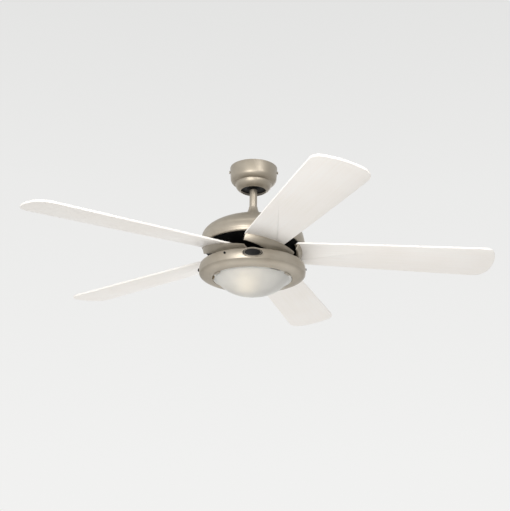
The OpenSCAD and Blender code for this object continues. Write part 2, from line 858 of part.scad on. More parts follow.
module bulb() {
    color("ivory") translate([bulb_x, 0, bulb_z]) rotate([0, 90, 0])
        rotate_extrude() polygon(bulb_line());
}

// Half section of the glass bowl, from its rim to its middle, which is its shallowest part
function glass_line(r, low, top) = [for (i = [0:14]) let (t = 1 - i / 14)
    [r * t, low + (top - low) * pow(t, glass_power)]];

module glass_shade() {
    color("whitesmoke") difference() {
        union() {
            bar(glass_rim_r, glass_rim_z, glass_rim_z + flange_h);
            rotate_extrude() polygon(concat(
                [[0, glass_rim_z + 1]], [[glass_neck_r, glass_rim_z + 1]],
                glass_line(glass_neck_r, glass_end_z, glass_rim_z)));
        }
        rotate_extrude() polygon(concat(
            [[0, glass_rim_z + flange_h + 1]],
            [[glass_neck_r - glass_t, glass_rim_z + flange_h + 1]],
            glass_line(glass_neck_r - glass_t, glass_end_z + glass_t, glass_rim_z)));
        around(tab_count, tab_first - glass_turn) notch();
    }
}

// Notch in the glass flange that lets a tab pass
module notch() {
    wide = tab_a + 3;
    intersection() {
        tube(glass_rim_r + 2, tab_in_r - 0.6, glass_rim_z - 1, glass_rim_z + flange_h + 1);
        rotate([0, 0, -wide / 2]) translate([0, 0, glass_rim_z - 2])
            cube([glass_rim_r + 5, glass_rim_r, flange_h + 4]);
        rotate([0, 0, wide / 2]) translate([0, -glass_rim_r, glass_rim_z - 2])
            cube([glass_rim_r + 5, glass_rim_r, flange_h + 4]);
    }
}

mounting_bracket();
earth_screw();
canopy();
canopy_screws();
wire_connectors();
hanger_ball();
ball_pin();
ball_set_screw();
downrod();
motor_coupling();
clevis_pin();
hitch_pin();
coupling_set_screws();
coupling_cover();
top_housing();
housing_screws();
motor_shaft();
bearing_inner_races();
bearing_balls();
bearing_outer_races();
stator_core();
stator_windings();
rotor_ring();
rotor_top_shell();
rotor_bottom_shell();
rotor_screws();
rotor_cover();
rotor_cover_screws();
for (i = [0:blade_count - 1]) {
    rotate([0, 0, i * step_a]) blade_carrier();
    rotate([0, 0, i * step_a]) blade();
}
carrier_screws();
blade_washers();
blade_screws();
light_plate();
shaft_nut();
light_housing();
light_housing_screws();
badge();
capacitor();
plug_connector();
reverse_switch_body();
reverse_switch_knob();
lampholder_bracket();
lampholder();
bulb_cap();
bulb();
glass_shade();
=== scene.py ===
"""Ceiling fan with light: the looks of the fan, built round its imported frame.

Every piece is made in the frame's own metres. Its main sizes are read from the frame's parts, and
the sizes that only shape a section are the fields of the class that makes the piece.
"""

from __future__ import annotations

import json
import logging
import math
from collections.abc import Callable, Iterable, Sequence
from dataclasses import dataclass, field
from enum import Enum
from functools import lru_cache

import bpy
from mathutils import Matrix, Vector


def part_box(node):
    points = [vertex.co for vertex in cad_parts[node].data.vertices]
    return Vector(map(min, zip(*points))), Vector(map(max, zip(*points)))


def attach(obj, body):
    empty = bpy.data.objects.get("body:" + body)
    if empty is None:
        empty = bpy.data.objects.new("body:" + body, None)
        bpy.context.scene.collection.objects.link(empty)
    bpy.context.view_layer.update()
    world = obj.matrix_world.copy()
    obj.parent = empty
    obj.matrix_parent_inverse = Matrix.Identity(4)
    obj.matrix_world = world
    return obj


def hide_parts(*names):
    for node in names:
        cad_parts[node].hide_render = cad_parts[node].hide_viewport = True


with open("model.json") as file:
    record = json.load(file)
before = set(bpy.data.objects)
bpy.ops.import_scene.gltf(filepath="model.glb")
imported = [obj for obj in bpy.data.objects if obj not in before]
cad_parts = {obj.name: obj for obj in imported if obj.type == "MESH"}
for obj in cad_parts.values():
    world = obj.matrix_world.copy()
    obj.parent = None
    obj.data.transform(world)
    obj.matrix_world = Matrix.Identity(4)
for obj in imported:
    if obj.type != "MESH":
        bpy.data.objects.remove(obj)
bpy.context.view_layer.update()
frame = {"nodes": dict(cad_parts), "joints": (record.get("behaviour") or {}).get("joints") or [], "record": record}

LOG = logging.getLogger("ceiling_fan")
MM = 0.001
BLADE_COUNT = 5
CREASE_ANGLE = math.radians(32)  # a sharper turn between faces shows as an edge

Point = tuple[float, float]
Line = list[Point]
Radial = Callable[[float, float, float], float]


class Body(Enum):
    """The frame's moving bodies."""

    CEILING_MOUNT = "ceiling_mount"
    HANGER = "hanger"
    ROTOR = "rotor"
    GLASS = "glass"
    SWITCH_KNOB = "switch_knob"


class Slot(Enum):
    """The record's material slots."""

    SATIN_NICKEL = "satin_nickel"
    WHITE_BLADE = "white_blade"
    FROSTED_GLASS = "frosted_glass"
    OPAL_BULB = "opal_bulb"
    ZINC_STEEL = "zinc_steel"
    GREEN_SCREW = "green_screw"
    ORANGE_PLASTIC = "orange_plastic"
    BLACK_PLASTIC = "black_plastic"
    BLACK_STEEL = "black_steel"
    FIBRE_WASHER = "fibre_washer"
    LAMINATION_STEEL = "lamination_steel"
    COPPER_WIRE = "copper_wire"
    CAST_ALUMINIUM = "cast_aluminium"
    WHITE_ENAMEL = "white_enamel"
    PORCELAIN = "porcelain"
    NATURAL_NYLON = "natural_nylon"


class Cut(Enum):
    """What one solid does to another."""

    TAKE_AWAY = "DIFFERENCE"
    JOIN = "UNION"


# ---------------------------------------------------------------- Node materials


def linear(hex_colour: str) -> tuple[float, float, float, float]:
    """Turns an sRGB hex colour into a linear one.

    Args:
        hex_colour: Six hex digits, with or without a leading #.

    Returns:
        Linear red, green, blue and an alpha of 1.
    """
    digits = hex_colour.lstrip("#")
    channels = [int(digits[i : i + 2], 16) / 255 for i in (0, 2, 4)]
    red, green, blue = (
        c / 12.92 if c <= 0.04045 else ((c + 0.055) / 1.055) ** 2.4 for c in channels
    )
    return red, green, blue, 1.0


def per_metre(size_mm: float) -> float:
    """Texture scale whose pattern repeats about every size_mm millimetres."""
    return 1 / (size_mm * MM)


def add_node(
    tree: bpy.types.NodeTree,
    kind: str,
    settings: dict[str, object] | None = None,
    inputs: dict[str | int, object] | None = None,
    links: dict[str | int, bpy.types.NodeSocket] | None = None,
) -> bpy.types.Node:
    """Adds a node to a tree with its settings, its input values and its links.

    Args:
        tree: The material's node tree.
        kind: The node's type name.
        settings: The node's own properties.
        inputs: Values of its input sockets, by name or place.
        links: Output sockets that feed its input sockets, by name or place.

    Returns:
        The new node.
    """
    node = tree.nodes.new(kind)
    for name, value in (settings or {}).items():
        setattr(node, name, value)
    for key, value in (inputs or {}).items():
        node.inputs[key].default_value = value
    for key, socket in (links or {}).items():
        tree.links.new(socket, node.inputs[key])
    return node


def ramp(
    tree: bpy.types.NodeTree, factor: bpy.types.NodeSocket, stops: Sequence[tuple[float, str]]
) -> bpy.types.NodeSocket:
    """Colours a factor between hex colours.

    Args:
        tree: The material's node tree.
        factor: The output socket that picks the colour.
        stops: Places from 0 to 1, each with its sRGB hex colour.

    Returns:
        The colour output.
    """
    node = add_node(tree, "ShaderNodeValToRGB", links={"Fac": factor})
    elements = node.color_ramp.elements
    while len(elements) < len(stops):
        elements.new(1.0)
    for element, (place, colour) in zip(elements, stops, strict=True):
        element.position = place
        element.color = linear(colour)
    return node.outputs["Color"]


def spread(
    tree: bpy.types.NodeTree, factor: bpy.types.NodeSocket, low: float, high: float
) -> bpy.types.NodeSocket:
    """Maps a factor from 0..1 to low..high.

    Args:
        tree: The material's node tree.
        factor: The output socket to map.
        low: The value at 0.
        high: The value at 1.

    Returns:
        The mapped output.
    """
    node = add_node(
        tree, "ShaderNodeMapRange", inputs={"To Min": low, "To Max": high}, links={"Value": factor}
    )
    return node.outputs["Result"]


def place_on_object(
    tree: bpy.types.NodeTree, stretch: tuple[float, float, float] = (1.0, 1.0, 1.0)
) -> bpy.types.NodeSocket:
    """Coordinates that are fixed to the object, in metres, with a stretch per axis.

    Args:
        tree: The material's node tree.
        stretch: Multiplies each axis, so a pattern runs long where it is small.

    Returns:
        The vector output.
    """
    coords = add_node(tree, "ShaderNodeTexCoord")
    mapping = add_node(
        tree, "ShaderNodeMapping", inputs={"Scale": stretch}, links={"Vector": coords.outputs["Object"]}
    )
    return mapping.outputs["Vector"]


def noise(
    tree: bpy.types.NodeTree,
    size_mm: float,
    stretch: tuple[float, float, float] = (1.0, 1.0, 1.0),
    detail: float = 3.0,
) -> bpy.types.NodeSocket:
    """Soft random pattern with features of a real size.

    Args:
        tree: The material's node tree.
        size_mm: Size of its features in millimetres.
        stretch: Multiplies each axis before the pattern is looked up.
        detail: How many finer layers lie on it.

    Returns:
        The factor output, about 0.3 to 0.7.
    """
    node = add_node(
        tree,
        "ShaderNodeTexNoise",
        inputs={"Scale": per_metre(size_mm), "Detail": detail},
        links={"Vector": place_on_object(tree, stretch)},
    )
    return node.outputs["Fac"]


def relief(
    tree: bpy.types.NodeTree,
    shader: bpy.types.Node,
    height: bpy.types.NodeSocket,
    depth_mm: float,
    strength: float = 1.0,
) -> None:
    """Gives a shader a bump, laid over any bump it already has.

    Args:
        tree: The material's node tree.
        shader: The shader whose normal is bumped.
        height: The height pattern, 0 to 1.
        depth_mm: Height of the pattern in millimetres.
        strength: Share of the bump that shows.
    """
    links = {"Height": height}
    if shader.inputs["Normal"].is_linked:
        links["Normal"] = shader.inputs["Normal"].links[0].from_socket
    bump = add_node(
        tree, "ShaderNodeBump", inputs={"Distance": depth_mm * MM, "Strength": strength}, links=links
    )
    tree.links.new(bump.outputs["Normal"], shader.inputs["Normal"])


@dataclass(frozen=True)
class Finish:
    """What a surface is made of and how it was made."""

    name: str
    slot: Slot

    def paint(self, tree: bpy.types.NodeTree, shader: bpy.types.Node) -> None:
        """Sets the shader up as this finish.

        Args:
            tree: The material's node tree.
            shader: Its principled shader.
        """
        raise NotImplementedError

    def material(self) -> bpy.types.Material:
        """Makes the node material of this finish.

        Returns:
            The new material.
        """
        material = bpy.data.materials.new(self.name)
        material.use_nodes = True
        tree = material.node_tree
        tree.nodes.clear()
        shader = add_node(tree, "ShaderNodeBsdfPrincipled")
        add_node(tree, "ShaderNodeOutputMaterial", links={"Surface": shader.outputs["BSDF"]})
        self.paint(tree, shader)
        return material


@dataclass(frozen=True)
class SatinNickelLacquer(Finish):
    """Spun steel sheet under a warm satin nickel lacquer.

    The lacquer's fine flake spreads each highlight wide and soft, faint turning marks run round the
    axis under it, and dust settles on faces that look up.
    """

    flake_mm: float = 0.9  # real flake is 0.05 mm, drawn coarse enough to show
    turning_mm: float = 1.6  # real turning marks are 0.3 mm apart
    shade: str = "#9A9284"
    body: str = "#A59D90"
    light: str = "#B2AB9F"
    dust: str = "#BDB8AC"

    def paint(self, tree: bpy.types.NodeTree, shader: bpy.types.Node) -> None:
        """Flake and cloudy colour, turning marks, orange peel and dust."""
        cloud = noise(tree, 70, detail=2)
        flake = noise(tree, self.flake_mm, detail=1)
        mixed = add_node(
            tree,
            "ShaderNodeMix",
            {"data_type": "FLOAT"},
            {"Factor": 0.35},
            {"A": cloud, "B": flake},
        )
        tone = ramp(
            tree, mixed.outputs["Result"], [(0.30, self.shade), (0.50, self.body), (0.70, self.light)]
        )
        facing = add_node(tree, "ShaderNodeNewGeometry")
        upward = add_node(tree, "ShaderNodeSeparateXYZ", links={0: facing.outputs["Normal"]})
        settled = add_node(
            tree,
            "ShaderNodeMath",
            {"operation": "MULTIPLY", "use_clamp": True},
            links={0: upward.outputs["Z"], 1: noise(tree, 25)},
        )
        dusty = add_node(
            tree,
            "ShaderNodeMix",
            {"data_type": "RGBA"},
            {"B": linear(self.dust)},
            {"Factor": spread(tree, settled.outputs[0], 0.0, 0.45), "A": tone},
        )
        tree.links.new(dusty.outputs["Result"], shader.inputs["Base Color"])
        shader.inputs["Metallic"].default_value = 0.7
        turning = noise(tree, 60, (1.0, 1.0, 60 / self.turning_mm), detail=2)
        tree.links.new(spread(tree, turning, 0.40, 0.54), shader.inputs["Roughness"])
        relief(tree, shader, turning, 0.02, 0.6)
        relief(tree, shader, noise(tree, 3.5, detail=1), 0.012, 0.5)
        shader.inputs["Coat Weight"].default_value = 0.12
        shader.inputs["Coat Roughness"].default_value = 0.35


@dataclass(frozen=True)
class PaintedBoard(Finish):
    """Fibreboard with a white satin foil rolled over it.

    The foil's embossed grain runs along the blade and breaks up its sheen, and its colour drifts a
    little from warm to cool.
    """

    grain_mm: float = 5.0
    grain_run: float = 0.03
    warm: str = "#F3F0EB"
    plain: str = "#F6F3F0"
    cool: str = "#F7F6F4"

    def paint(self, tree: bpy.types.NodeTree, shader: bpy.types.Node) -> None:
        """Long faint grain in colour, sheen and relief."""
        along = (self.grain_run, 1.0, 1.0)
        grain = noise(tree, self.grain_mm, along, detail=4)
        pore = noise(tree, 1.4, (0.05, 1.0, 1.0), detail=1)
        drift = add_node(
            tree,
            "ShaderNodeMix",
            {"data_type": "FLOAT"},
            {"Factor": 0.5},
            {"A": grain, "B": noise(tree, 160, detail=1)},
        )
        tone = ramp(
            tree, drift.outputs["Result"], [(0.32, self.warm), (0.50, self.plain), (0.68, self.cool)]
        )
        tree.links.new(tone, shader.inputs["Base Color"])
        tree.links.new(spread(tree, grain, 0.40, 0.56), shader.inputs["Roughness"])
        relief(tree, shader, pore, 0.006, 0.2)
        relief(tree, shader, grain, 0.01, 0.2)
        shader.inputs["Specular IOR Level"].default_value = 0.4


@dataclass(frozen=True)
class FrostedGlass(Finish):
    """Pressed glass, acid etched on its outside.

    The etch turns the bulb into a soft warm patch and keeps the bowl pale, with a grey edge where
    the wall is seen side on.
    """

    tint: str = "#EDEDEA"
    clear_share: float = 0.38

    def paint(self, tree: bpy.types.NodeTree, shader: bpy.types.Node) -> None:
        """Etched, half clear glass with a fine tooth."""
        etch = noise(tree, 1.2, detail=2)
        cloud = noise(tree, 45, detail=1)
        tone = ramp(tree, cloud, [(0.35, "#E6E6E3"), (0.65, self.tint)])
        tree.links.new(tone, shader.inputs["Base Color"])
        tree.links.new(spread(tree, etch, 0.42, 0.58), shader.inputs["Roughness"])
        relief(tree, shader, etch, 0.02, 0.5)
        shader.inputs["IOR"].default_value = 1.5
        shader.inputs["Transmission Weight"].default_value = self.clear_share


@dataclass(frozen=True)
class OpalGlass(Finish):
    """Bulb glass with a white coating inside, which gives an even warm glow when lit."""

    glow: str = "#FFE6BE"
    glow_strength: float = 2.9

    def paint(self, tree: bpy.types.NodeTree, shader: bpy.types.Node) -> None:
        """White coated glass that glows."""
        tone = ramp(tree, noise(tree, 14, detail=1), [(0.3, "#F3EFE6"), (0.7, "#FBF9F4")])
        tree.links.new(tone, shader.inputs["Base Color"])
        tree.links.new(spread(tree, noise(tree, 4), 0.16, 0.26), shader.inputs["Roughness"])
        shader.inputs["IOR"].default_value = 1.5
        shader.inputs["Emission Color"].default_value = linear(self.glow)
        shader.inputs["Emission Strength"].default_value = self.glow_strength


@dataclass(frozen=True)
class Moulded(Finish):
    """Injection moulded plastic: an even colour with the mould's fine spark texture on it."""

    dark: str
    light: str
    texture_mm: float = 0.8  # real spark texture is 0.1 mm
    roughness: float = 0.45
    ior: float = 1.5
    coat: float = 0.0

    def paint(self, tree: bpy.types.NodeTree, shader: bpy.types.Node) -> None:
        """Even plastic with a fine texture."""
        tone = ramp(tree, noise(tree, 18, detail=2), [(0.35, self.dark), (0.65, self.light)])
        tree.links.new(tone, shader.inputs["Base Color"])
        texture = noise(tree, self.texture_mm, detail=1)
        rough = spread(tree, texture, self.roughness - 0.07, self.roughness + 0.07)
        tree.links.new(rough, shader.inputs["Roughness"])
        relief(tree, shader, texture, 0.02, 0.4)
        shader.inputs["IOR"].default_value = self.ior
        shader.inputs["Coat Weight"].default_value = self.coat
        shader.inputs["Coat Roughness"].default_value = 0.12


@dataclass(frozen=True)
class PlatedSteel(Finish):
    """Steel with a thin metal or oxide coat over its rolled surface.

    The plating clouds a little from piece to piece, and rolling lines lie under it.
    """

    shade: str
    light: str
    metallic: float = 1.0
    roughness: float = 0.34

    def paint(self, tree: bpy.types.NodeTree, shader: bpy.types.Node) -> None:
        """Cloudy plating over rolling lines."""
        tone = ramp(tree, noise(tree, 12, detail=3), [(0.32, self.shade), (0.68, self.light)])
        tree.links.new(tone, shader.inputs["Base Color"])
        shader.inputs["Metallic"].default_value = self.metallic
        rolled = noise(tree, 8, (0.15, 4.0, 4.0), detail=2)
        rough = spread(tree, rolled, self.roughness - 0.08, self.roughness + 0.1)
        tree.links.new(rough, shader.inputs["Roughness"])
        relief(tree, shader, rolled, 0.01, 0.5)


@dataclass(frozen=True)
class CastMetal(Finish):
    """Die cast aluminium, as it leaves the die: dull, with a fine pebbled skin."""

    def paint(self, tree: bpy.types.NodeTree, shader: bpy.types.Node) -> None:
        """Dull pebbled casting."""
        skin = noise(tree, 2.2, detail=3)
        tone = ramp(tree, noise(tree, 20), [(0.3, "#8E9092"), (0.7, "#A9ABAD")])
        tree.links.new(tone, shader.inputs["Base Color"])
        shader.inputs["Metallic"].default_value = 0.9
        tree.links.new(spread(tree, skin, 0.42, 0.6), shader.inputs["Roughness"])
        relief(tree, shader, skin, 0.08, 0.7)


@dataclass(frozen=True)
class Layered(Finish):
    """A stack or winding of thin metal: stripes of metal with dark lines of varnish between them."""

    metal: str
    line: str
    pitch_mm: float
    direction: str
    metallic: float = 0.85

    def paint(self, tree: bpy.types.NodeTree, shader: bpy.types.Node) -> None:
        """Stripes across one axis, in colour and relief."""
        stripes = add_node(
            tree,
            "ShaderNodeTexWave",
            {"wave_type": "BANDS", "bands_direction": self.direction, "wave_profile": "SIN"},
            {"Scale": per_metre(self.pitch_mm) / 20 * math.tau, "Distortion": 0.4, "Detail": 1.0},
            {"Vector": place_on_object(tree)},
        )
        tone = ramp(tree, stripes.outputs["Fac"], [(0.10, self.line), (0.45, self.metal)])
        tree.links.new(tone, shader.inputs["Base Color"])
        shader.inputs["Metallic"].default_value = self.metallic
        tree.links.new(spread(tree, noise(tree, 5), 0.3, 0.5), shader.inputs["Roughness"])
        relief(tree, shader, stripes.outputs["Fac"], 0.25, 0.8)


@dataclass(frozen=True)
class Fired(Finish):
    """Enamel or glaze fired on metal or clay: glassy, with a slow ripple."""

    dark: str
    light: str

    def paint(self, tree: bpy.types.NodeTree, shader: bpy.types.Node) -> None:
        """Glassy white coat with a ripple."""
        tone = ramp(tree, noise(tree, 40, detail=2), [(0.35, self.dark), (0.65, self.light)])
        tree.links.new(tone, shader.inputs["Base Color"])
        ripple = noise(tree, 9, detail=1)
        tree.links.new(spread(tree, ripple, 0.14, 0.26), shader.inputs["Roughness"])
        relief(tree, shader, ripple, 0.04, 0.5)
        shader.inputs["Coat Weight"].default_value = 0.4
        shader.inputs["Coat Roughness"].default_value = 0.08


@dataclass(frozen=True)
class PressedFibre(Finish):
    """Vulcanised fibre, punched from sheet: dull, with short flecks in it."""

    def paint(self, tree: bpy.types.NodeTree, shader: bpy.types.Node) -> None:
        """Flecked dull sheet."""
        fleck = noise(tree, 1.5, (0.4, 1.0, 1.0), detail=4)
        tone = ramp(tree, fleck, [(0.35, "#3B3734"), (0.65, "#5A534D")])
        tree.links.new(tone, shader.inputs["Base Color"])
        tree.links.new(spread(tree, fleck, 0.7, 0.85), shader.inputs["Roughness"])
        relief(tree, shader, fleck, 0.06, 0.6)


SATIN_NICKEL = SatinNickelLacquer("satin_nickel_lacquer", Slot.SATIN_NICKEL)
WHITE_FOIL = PaintedBoard("white_foil_board", Slot.WHITE_BLADE)
ETCHED_GLASS = FrostedGlass("etched_glass", Slot.FROSTED_GLASS)
OPAL_GLASS = OpalGlass("opal_glass", Slot.OPAL_BULB)
ZINC_PLATE = PlatedSteel("zinc_plated_steel", Slot.ZINC_STEEL, "#504E4A", "#74716B")
GREEN_STEEL = PlatedSteel(
    "green_passivated_steel", Slot.GREEN_SCREW, "#2C6E45", "#43905F", metallic=0.5
)
ORANGE_MOULDED = Moulded("orange_moulded_nylon", Slot.ORANGE_PLASTIC, "#C9611D", "#DE7B33")
BLACK_MOULDED = Moulded("black_moulded_plastic", Slot.BLACK_PLASTIC, "#070708", "#101011", ior=1.25)
BLACK_OXIDE = PlatedSteel(
    "black_oxide_steel", Slot.BLACK_STEEL, "#1B1C1D", "#2B2C2D", metallic=0.8, roughness=0.46
)
FIBRE = PressedFibre("vulcanised_fibre", Slot.FIBRE_WASHER)
LAMINATIONS = Layered(
    "laminated_steel", Slot.LAMINATION_STEEL, "#8B8E91", "#3A3B3D", pitch_mm=1.5, direction="Z"
)
ENAMELLED_WIRE = Layered(
    "enamelled_copper_wire", Slot.COPPER_WIRE, "#B0612F", "#4A2212", pitch_mm=1.6, direction="Z"
)
CASTING = CastMetal("die_cast_aluminium", Slot.CAST_ALUMINIUM)
ENAMEL = Fired("white_enamel", Slot.WHITE_ENAMEL, "#E3E1DA", "#F0EEE8")
GLAZE = Fired("glazed_porcelain", Slot.PORCELAIN, "#E8E3D5", "#F4F0E6")
NYLON = Moulded("natural_nylon", Slot.NATURAL_NYLON, "#D9D1BC", "#E8E1CE", roughness=0.5)
BLACK_LACQUER = Moulded(
    "black_baked_lacquer", Slot.BLACK_PLASTIC, "#020202", "#050505", 3.0, 0.5, ior=1.12
)
FINISHES = [
    SATIN_NICKEL,
    WHITE_FOIL,
    ETCHED_GLASS,
    OPAL_GLASS,
    ZINC_PLATE,
    GREEN_STEEL,
    ORANGE_MOULDED,
    BLACK_MOULDED,
    BLACK_OXIDE,
    FIBRE,
    LAMINATIONS,
    ENAMELLED_WIRE,
    CASTING,
    ENAMEL,
    GLAZE,
    NYLON,
]


@lru_cache(maxsize=None)
def material_of(finish: Finish) -> bpy.types.Material:
    """The one material of a finish, made on first use."""
    return finish.material()


# ---------------------------------------------------------------- Lines and sections


def arc(centre: Point, radius: float, start: float, end: float, steps: int) -> Line:
    """Points of a circle's arc.

    Args:
        centre: The circle's centre.
        radius: Its radius.
        start: First angle in degrees.
        end: Last angle in degrees.
        steps: Number of equal steps between them.

    Returns:
        The points, both ends included.
    """
    angles = [math.radians(start + (end - start) * i / steps) for i in range(steps + 1)]
    return [(centre[0] + radius * math.cos(a), centre[1] + radius * math.sin(a)) for a in angles]


def lengths_along(line: Line) -> list[float]:
    """Distance of each point from the line's start, measured along it."""
    run = [0.0]
    for a, b in zip(line, line[1:], strict=False):
        run.append(run[-1] + math.dist(a, b))
    return run


def point_at(line: Line, run: list[float], distance: float) -> Point:
    """Point of a line at a distance from its start.

    Args:
        line: The line's points.
        run: Their distances from the start.
        distance: The distance wanted.

    Returns:
        The point.
    """
    for i in range(len(line) - 1):
        if distance <= run[i + 1] or i == len(line) - 2:
            share = (distance - run[i]) / max(run[i + 1] - run[i], 1e-12)
            (ax, ay), (bx, by) = line[i], line[i + 1]
            return ax + (bx - ax) * share, ay + (by - ay) * share
    return line[-1]


def softened(
    line: Line, reach: float | Sequence[float], sharp: float = 22.0, steps: int = 5
) -> Line:
    """Rounds the sharp corners of a line.

    Args:
        line: The line's points.
        reach: How far from a corner its curve starts, for all corners or one for each.
        sharp: A corner turns by more than this many degrees.
        steps: Number of steps in each curve.

    Returns:
        The line with curves in place of its corners.
    """
    run = lengths_along(line)
    corners = []
    for i in range(1, len(line) - 1):
        before = Vector(line[i]) - Vector(line[i - 1])
        after = Vector(line[i + 1]) - Vector(line[i])
        if before.angle(after, 0.0) > math.radians(sharp):
            corners.append(i)
    stops = [0.0] + [run[i] for i in corners] + [run[-1]]
    wanted = [reach] * len(corners) if isinstance(reach, float) else list(reach)
    curves = []
    for k, i in enumerate(corners):
        room = min(stops[k + 1] - stops[k], stops[k + 2] - stops[k + 1])
        r = min(wanted[k], 0.49 * room)
        curves.append((run[i] - r, run[i] + r, Vector(line[i])))
    made = [
        (s, p)
        for s, p in zip(run, line, strict=True)
        if not any(start <= s <= end for start, end, _ in curves)
    ]
    for start, end, corner in curves:
        a, b = Vector(point_at(line, run, start)), Vector(point_at(line, run, end))
        for j in range(steps + 1):
            t = j / steps
            p = a * (1 - t) ** 2 + corner * (2 * t * (1 - t)) + b * t**2
            made.append((start + (end - start) * t, (p.x, p.y)))
    return [p for _, p in sorted(made, key=lambda item: item[0])]


def trimmed(line: Line, cut: float) -> Line:
    """Takes a length off both ends of a line.

    Args:
        line: The line's points.
        cut: The length taken off each end.

    Returns:
        The shorter line.
    """
    run = lengths_along(line)
    inside = [p for p, s in zip(line, run, strict=True) if cut < s < run[-1] - cut]
    return [point_at(line, run, cut)] + inside + [point_at(line, run, run[-1] - cut)]


def beside(line: Line, distance: float, closed: bool = False) -> Line:
    """Line at a distance to the left of another.

    Args:
        line: The line's points.
        distance: How far to the left of it, or to its right where negative.
        closed: True where the last point joins the first.

    Returns:
        The points of the new line.
    """
    count = len(line)
    made = []
    for i, p in enumerate(line):
        before = line[(i - 1) % count] if closed else line[max(i - 1, 0)]
        after = line[(i + 1) % count] if closed else line[min(i + 1, count - 1)]
        normals = []
        for a, b in ((before, p), (p, after)):
            d = Vector(b) - Vector(a)
            if d.length > 1e-9:
                normals.append(Vector((-d.y, d.x)).normalized())
        total = sum(normals, Vector((0.0, 0.0)))
        shift = total * (len(normals) / total.length_squared)
        q = Vector(p) + shift * distance
        made.append((q.x, q.y))
    return made


def half_round(a: Vector, b: Vector, outward: Vector, steps: int = 4) -> Line:
    """Points of the half circle from a to b that bulges outward, without its ends."""
    centre, radius = (a + b) / 2, (b - a).length / 2
    arm, out = (a - centre), outward.normalized() * radius
    angles = [math.pi * i / steps for i in range(1, steps)]
    return [tuple(centre + arm * math.cos(t) + out * math.sin(t)) for t in angles]


def sheet_section(line: Line, thickness: float, reach: float = 0.0) -> Line:
    """Closed section of a sheet to the left of a line, with its two edges half round.

    Args:
        line: The sheet's outer line.
        thickness: The sheet's thickness.
        reach: How far from each of its corners the bend starts.

    Returns:
        The closed section's points.
    """
    outer, inner = line, beside(line, thickness)
    if reach:
        outer, inner = softened(outer, reach), softened(inner, reach)
    outer, inner = trimmed(outer, thickness / 2), trimmed(inner, thickness / 2)
    far = [Vector(outer[-1]), Vector(inner[-1]), Vector(outer[-1]) - Vector(outer[-2])]
    near = [Vector(inner[0]), Vector(outer[0]), Vector(outer[0]) - Vector(outer[1])]
    return outer + half_round(*far) + inner[::-1] + half_round(*near)


# ---------------------------------------------------------------- Meshes


def piece(
    name: str, verts: Sequence[Sequence[float]], faces: Sequence[Sequence[int]]
) -> bpy.types.Object:
    """Makes an object from points and faces and shades it smooth between its sharp edges.

    Args:
        name: The object's name.
        verts: Its points, in metres.
        faces: Point numbers of each face.

    Returns:
        The new object.
    """
    mesh = bpy.data.meshes.new(name)
    mesh.from_pydata([tuple(v) for v in verts], [], [tuple(f) for f in faces])
    mesh.update()
    mesh.shade_smooth()
    mesh.set_sharp_from_angle(angle=CREASE_ANGLE)
    made = bpy.data.objects.new(name, mesh)
    bpy.context.scene.collection.objects.link(made)
    return made


def revolved(
    name: str, section: Line, steps: int = 240, radial: Radial | None = None
) -> bpy.types.Object:
    """Turns a closed section round the z axis.

    Args:
        name: The object's name.
        section: Its (radius, z) points in order; points on the axis become poles.
        steps: Number of steps round the axis.
        radial: Gives a point's radius from its radius, height and angle, for threads and notches.

    Returns:
        The new object.
    """
    verts: list[tuple[float, float, float]] = []
    rows: list[list[int]] = []
    for r, z in section:
        if r < 1e-7:
            rows.append([len(verts)] * steps)
            verts.append((0.0, 0.0, z))
            continue
        rows.append(list(range(len(verts), len(verts) + steps)))
        for j in range(steps):
            a = math.tau * j / steps
            out = radial(r, z, a) if radial else r
            verts.append((out * math.cos(a), out * math.sin(a), z))
    faces = []
    for i, row in enumerate(rows):
        above = rows[(i + 1) % len(rows)]
        for j in range(steps):
            k = (j + 1) % steps
            corners = list(dict.fromkeys((row[j], row[k], above[k], above[j])))
            if len(corners) > 2:
                faces.append(corners)
    return piece(name, verts, faces)


def rounded_slab(
    name: str, outline: Line, low: float, high: float, edge: float, steps: int = 3
) -> bpy.types.Object:
    """Flat board of any outline, with rounded edges.

    Args:
        name: The object's name.
        outline: Its (x, y) outline, anticlockwise.
        low: Height of its underside.
        high: Height of its top.
        edge: Radius of its edges.
        steps: Number of steps round each edge.

    Returns:
        The new object.
    """
    turns = [math.pi / 2 * i / steps for i in range(steps + 1)]
    rims = [(edge * (1 - math.sin(t)), low + edge * (1 - math.cos(t))) for t in turns]
    rims += [(edge * (1 - math.cos(t)), high - edge * (1 - math.sin(t))) for t in turns]
    count = len(outline)
    verts = [(x, y, z) for inset, z in rims for x, y in beside(outline, inset, closed=True)]
    faces: list[list[int]] = [list(range(count))[::-1]]
    for i in range(len(rims) - 1):
        for j in range(count):
            k = (j + 1) % count
            faces.append([i * count + j, i * count + k, (i + 1) * count + k, (i + 1) * count + j])
    faces.append([(len(rims) - 1) * count + j for j in range(count)])
    return piece(name, verts, faces)


def swept(
    name: str, path: Sequence[Vector], outward: Sequence[Vector], radius: float, sides: int = 12
) -> bpy.types.Object:
    """Round bead along a closed path.

    Args:
        name: The object's name.
        path: The closed path's points.
        outward: A direction across the path at each point.
        radius: The bead's radius.
        sides: Number of sides round it.

    Returns:
        The new object.
    """
    count = len(path)
    verts = []
    for i, p in enumerate(path):
        along = (path[(i + 1) % count] - path[i - 1]).normalized()
        across = (outward[i] - along * outward[i].dot(along)).normalized()
        up = along.cross(across)
        for j in range(sides):
            a = math.tau * j / sides
            verts.append(p + (across * math.cos(a) + up * math.sin(a)) * radius)
    faces = []
    for i in range(count):
        n = (i + 1) % count
        for j in range(sides):
            k = (j + 1) % sides
            faces.append([i * sides + j, i * sides + k, n * sides + k, n * sides + j])
    return piece(name, verts, faces)


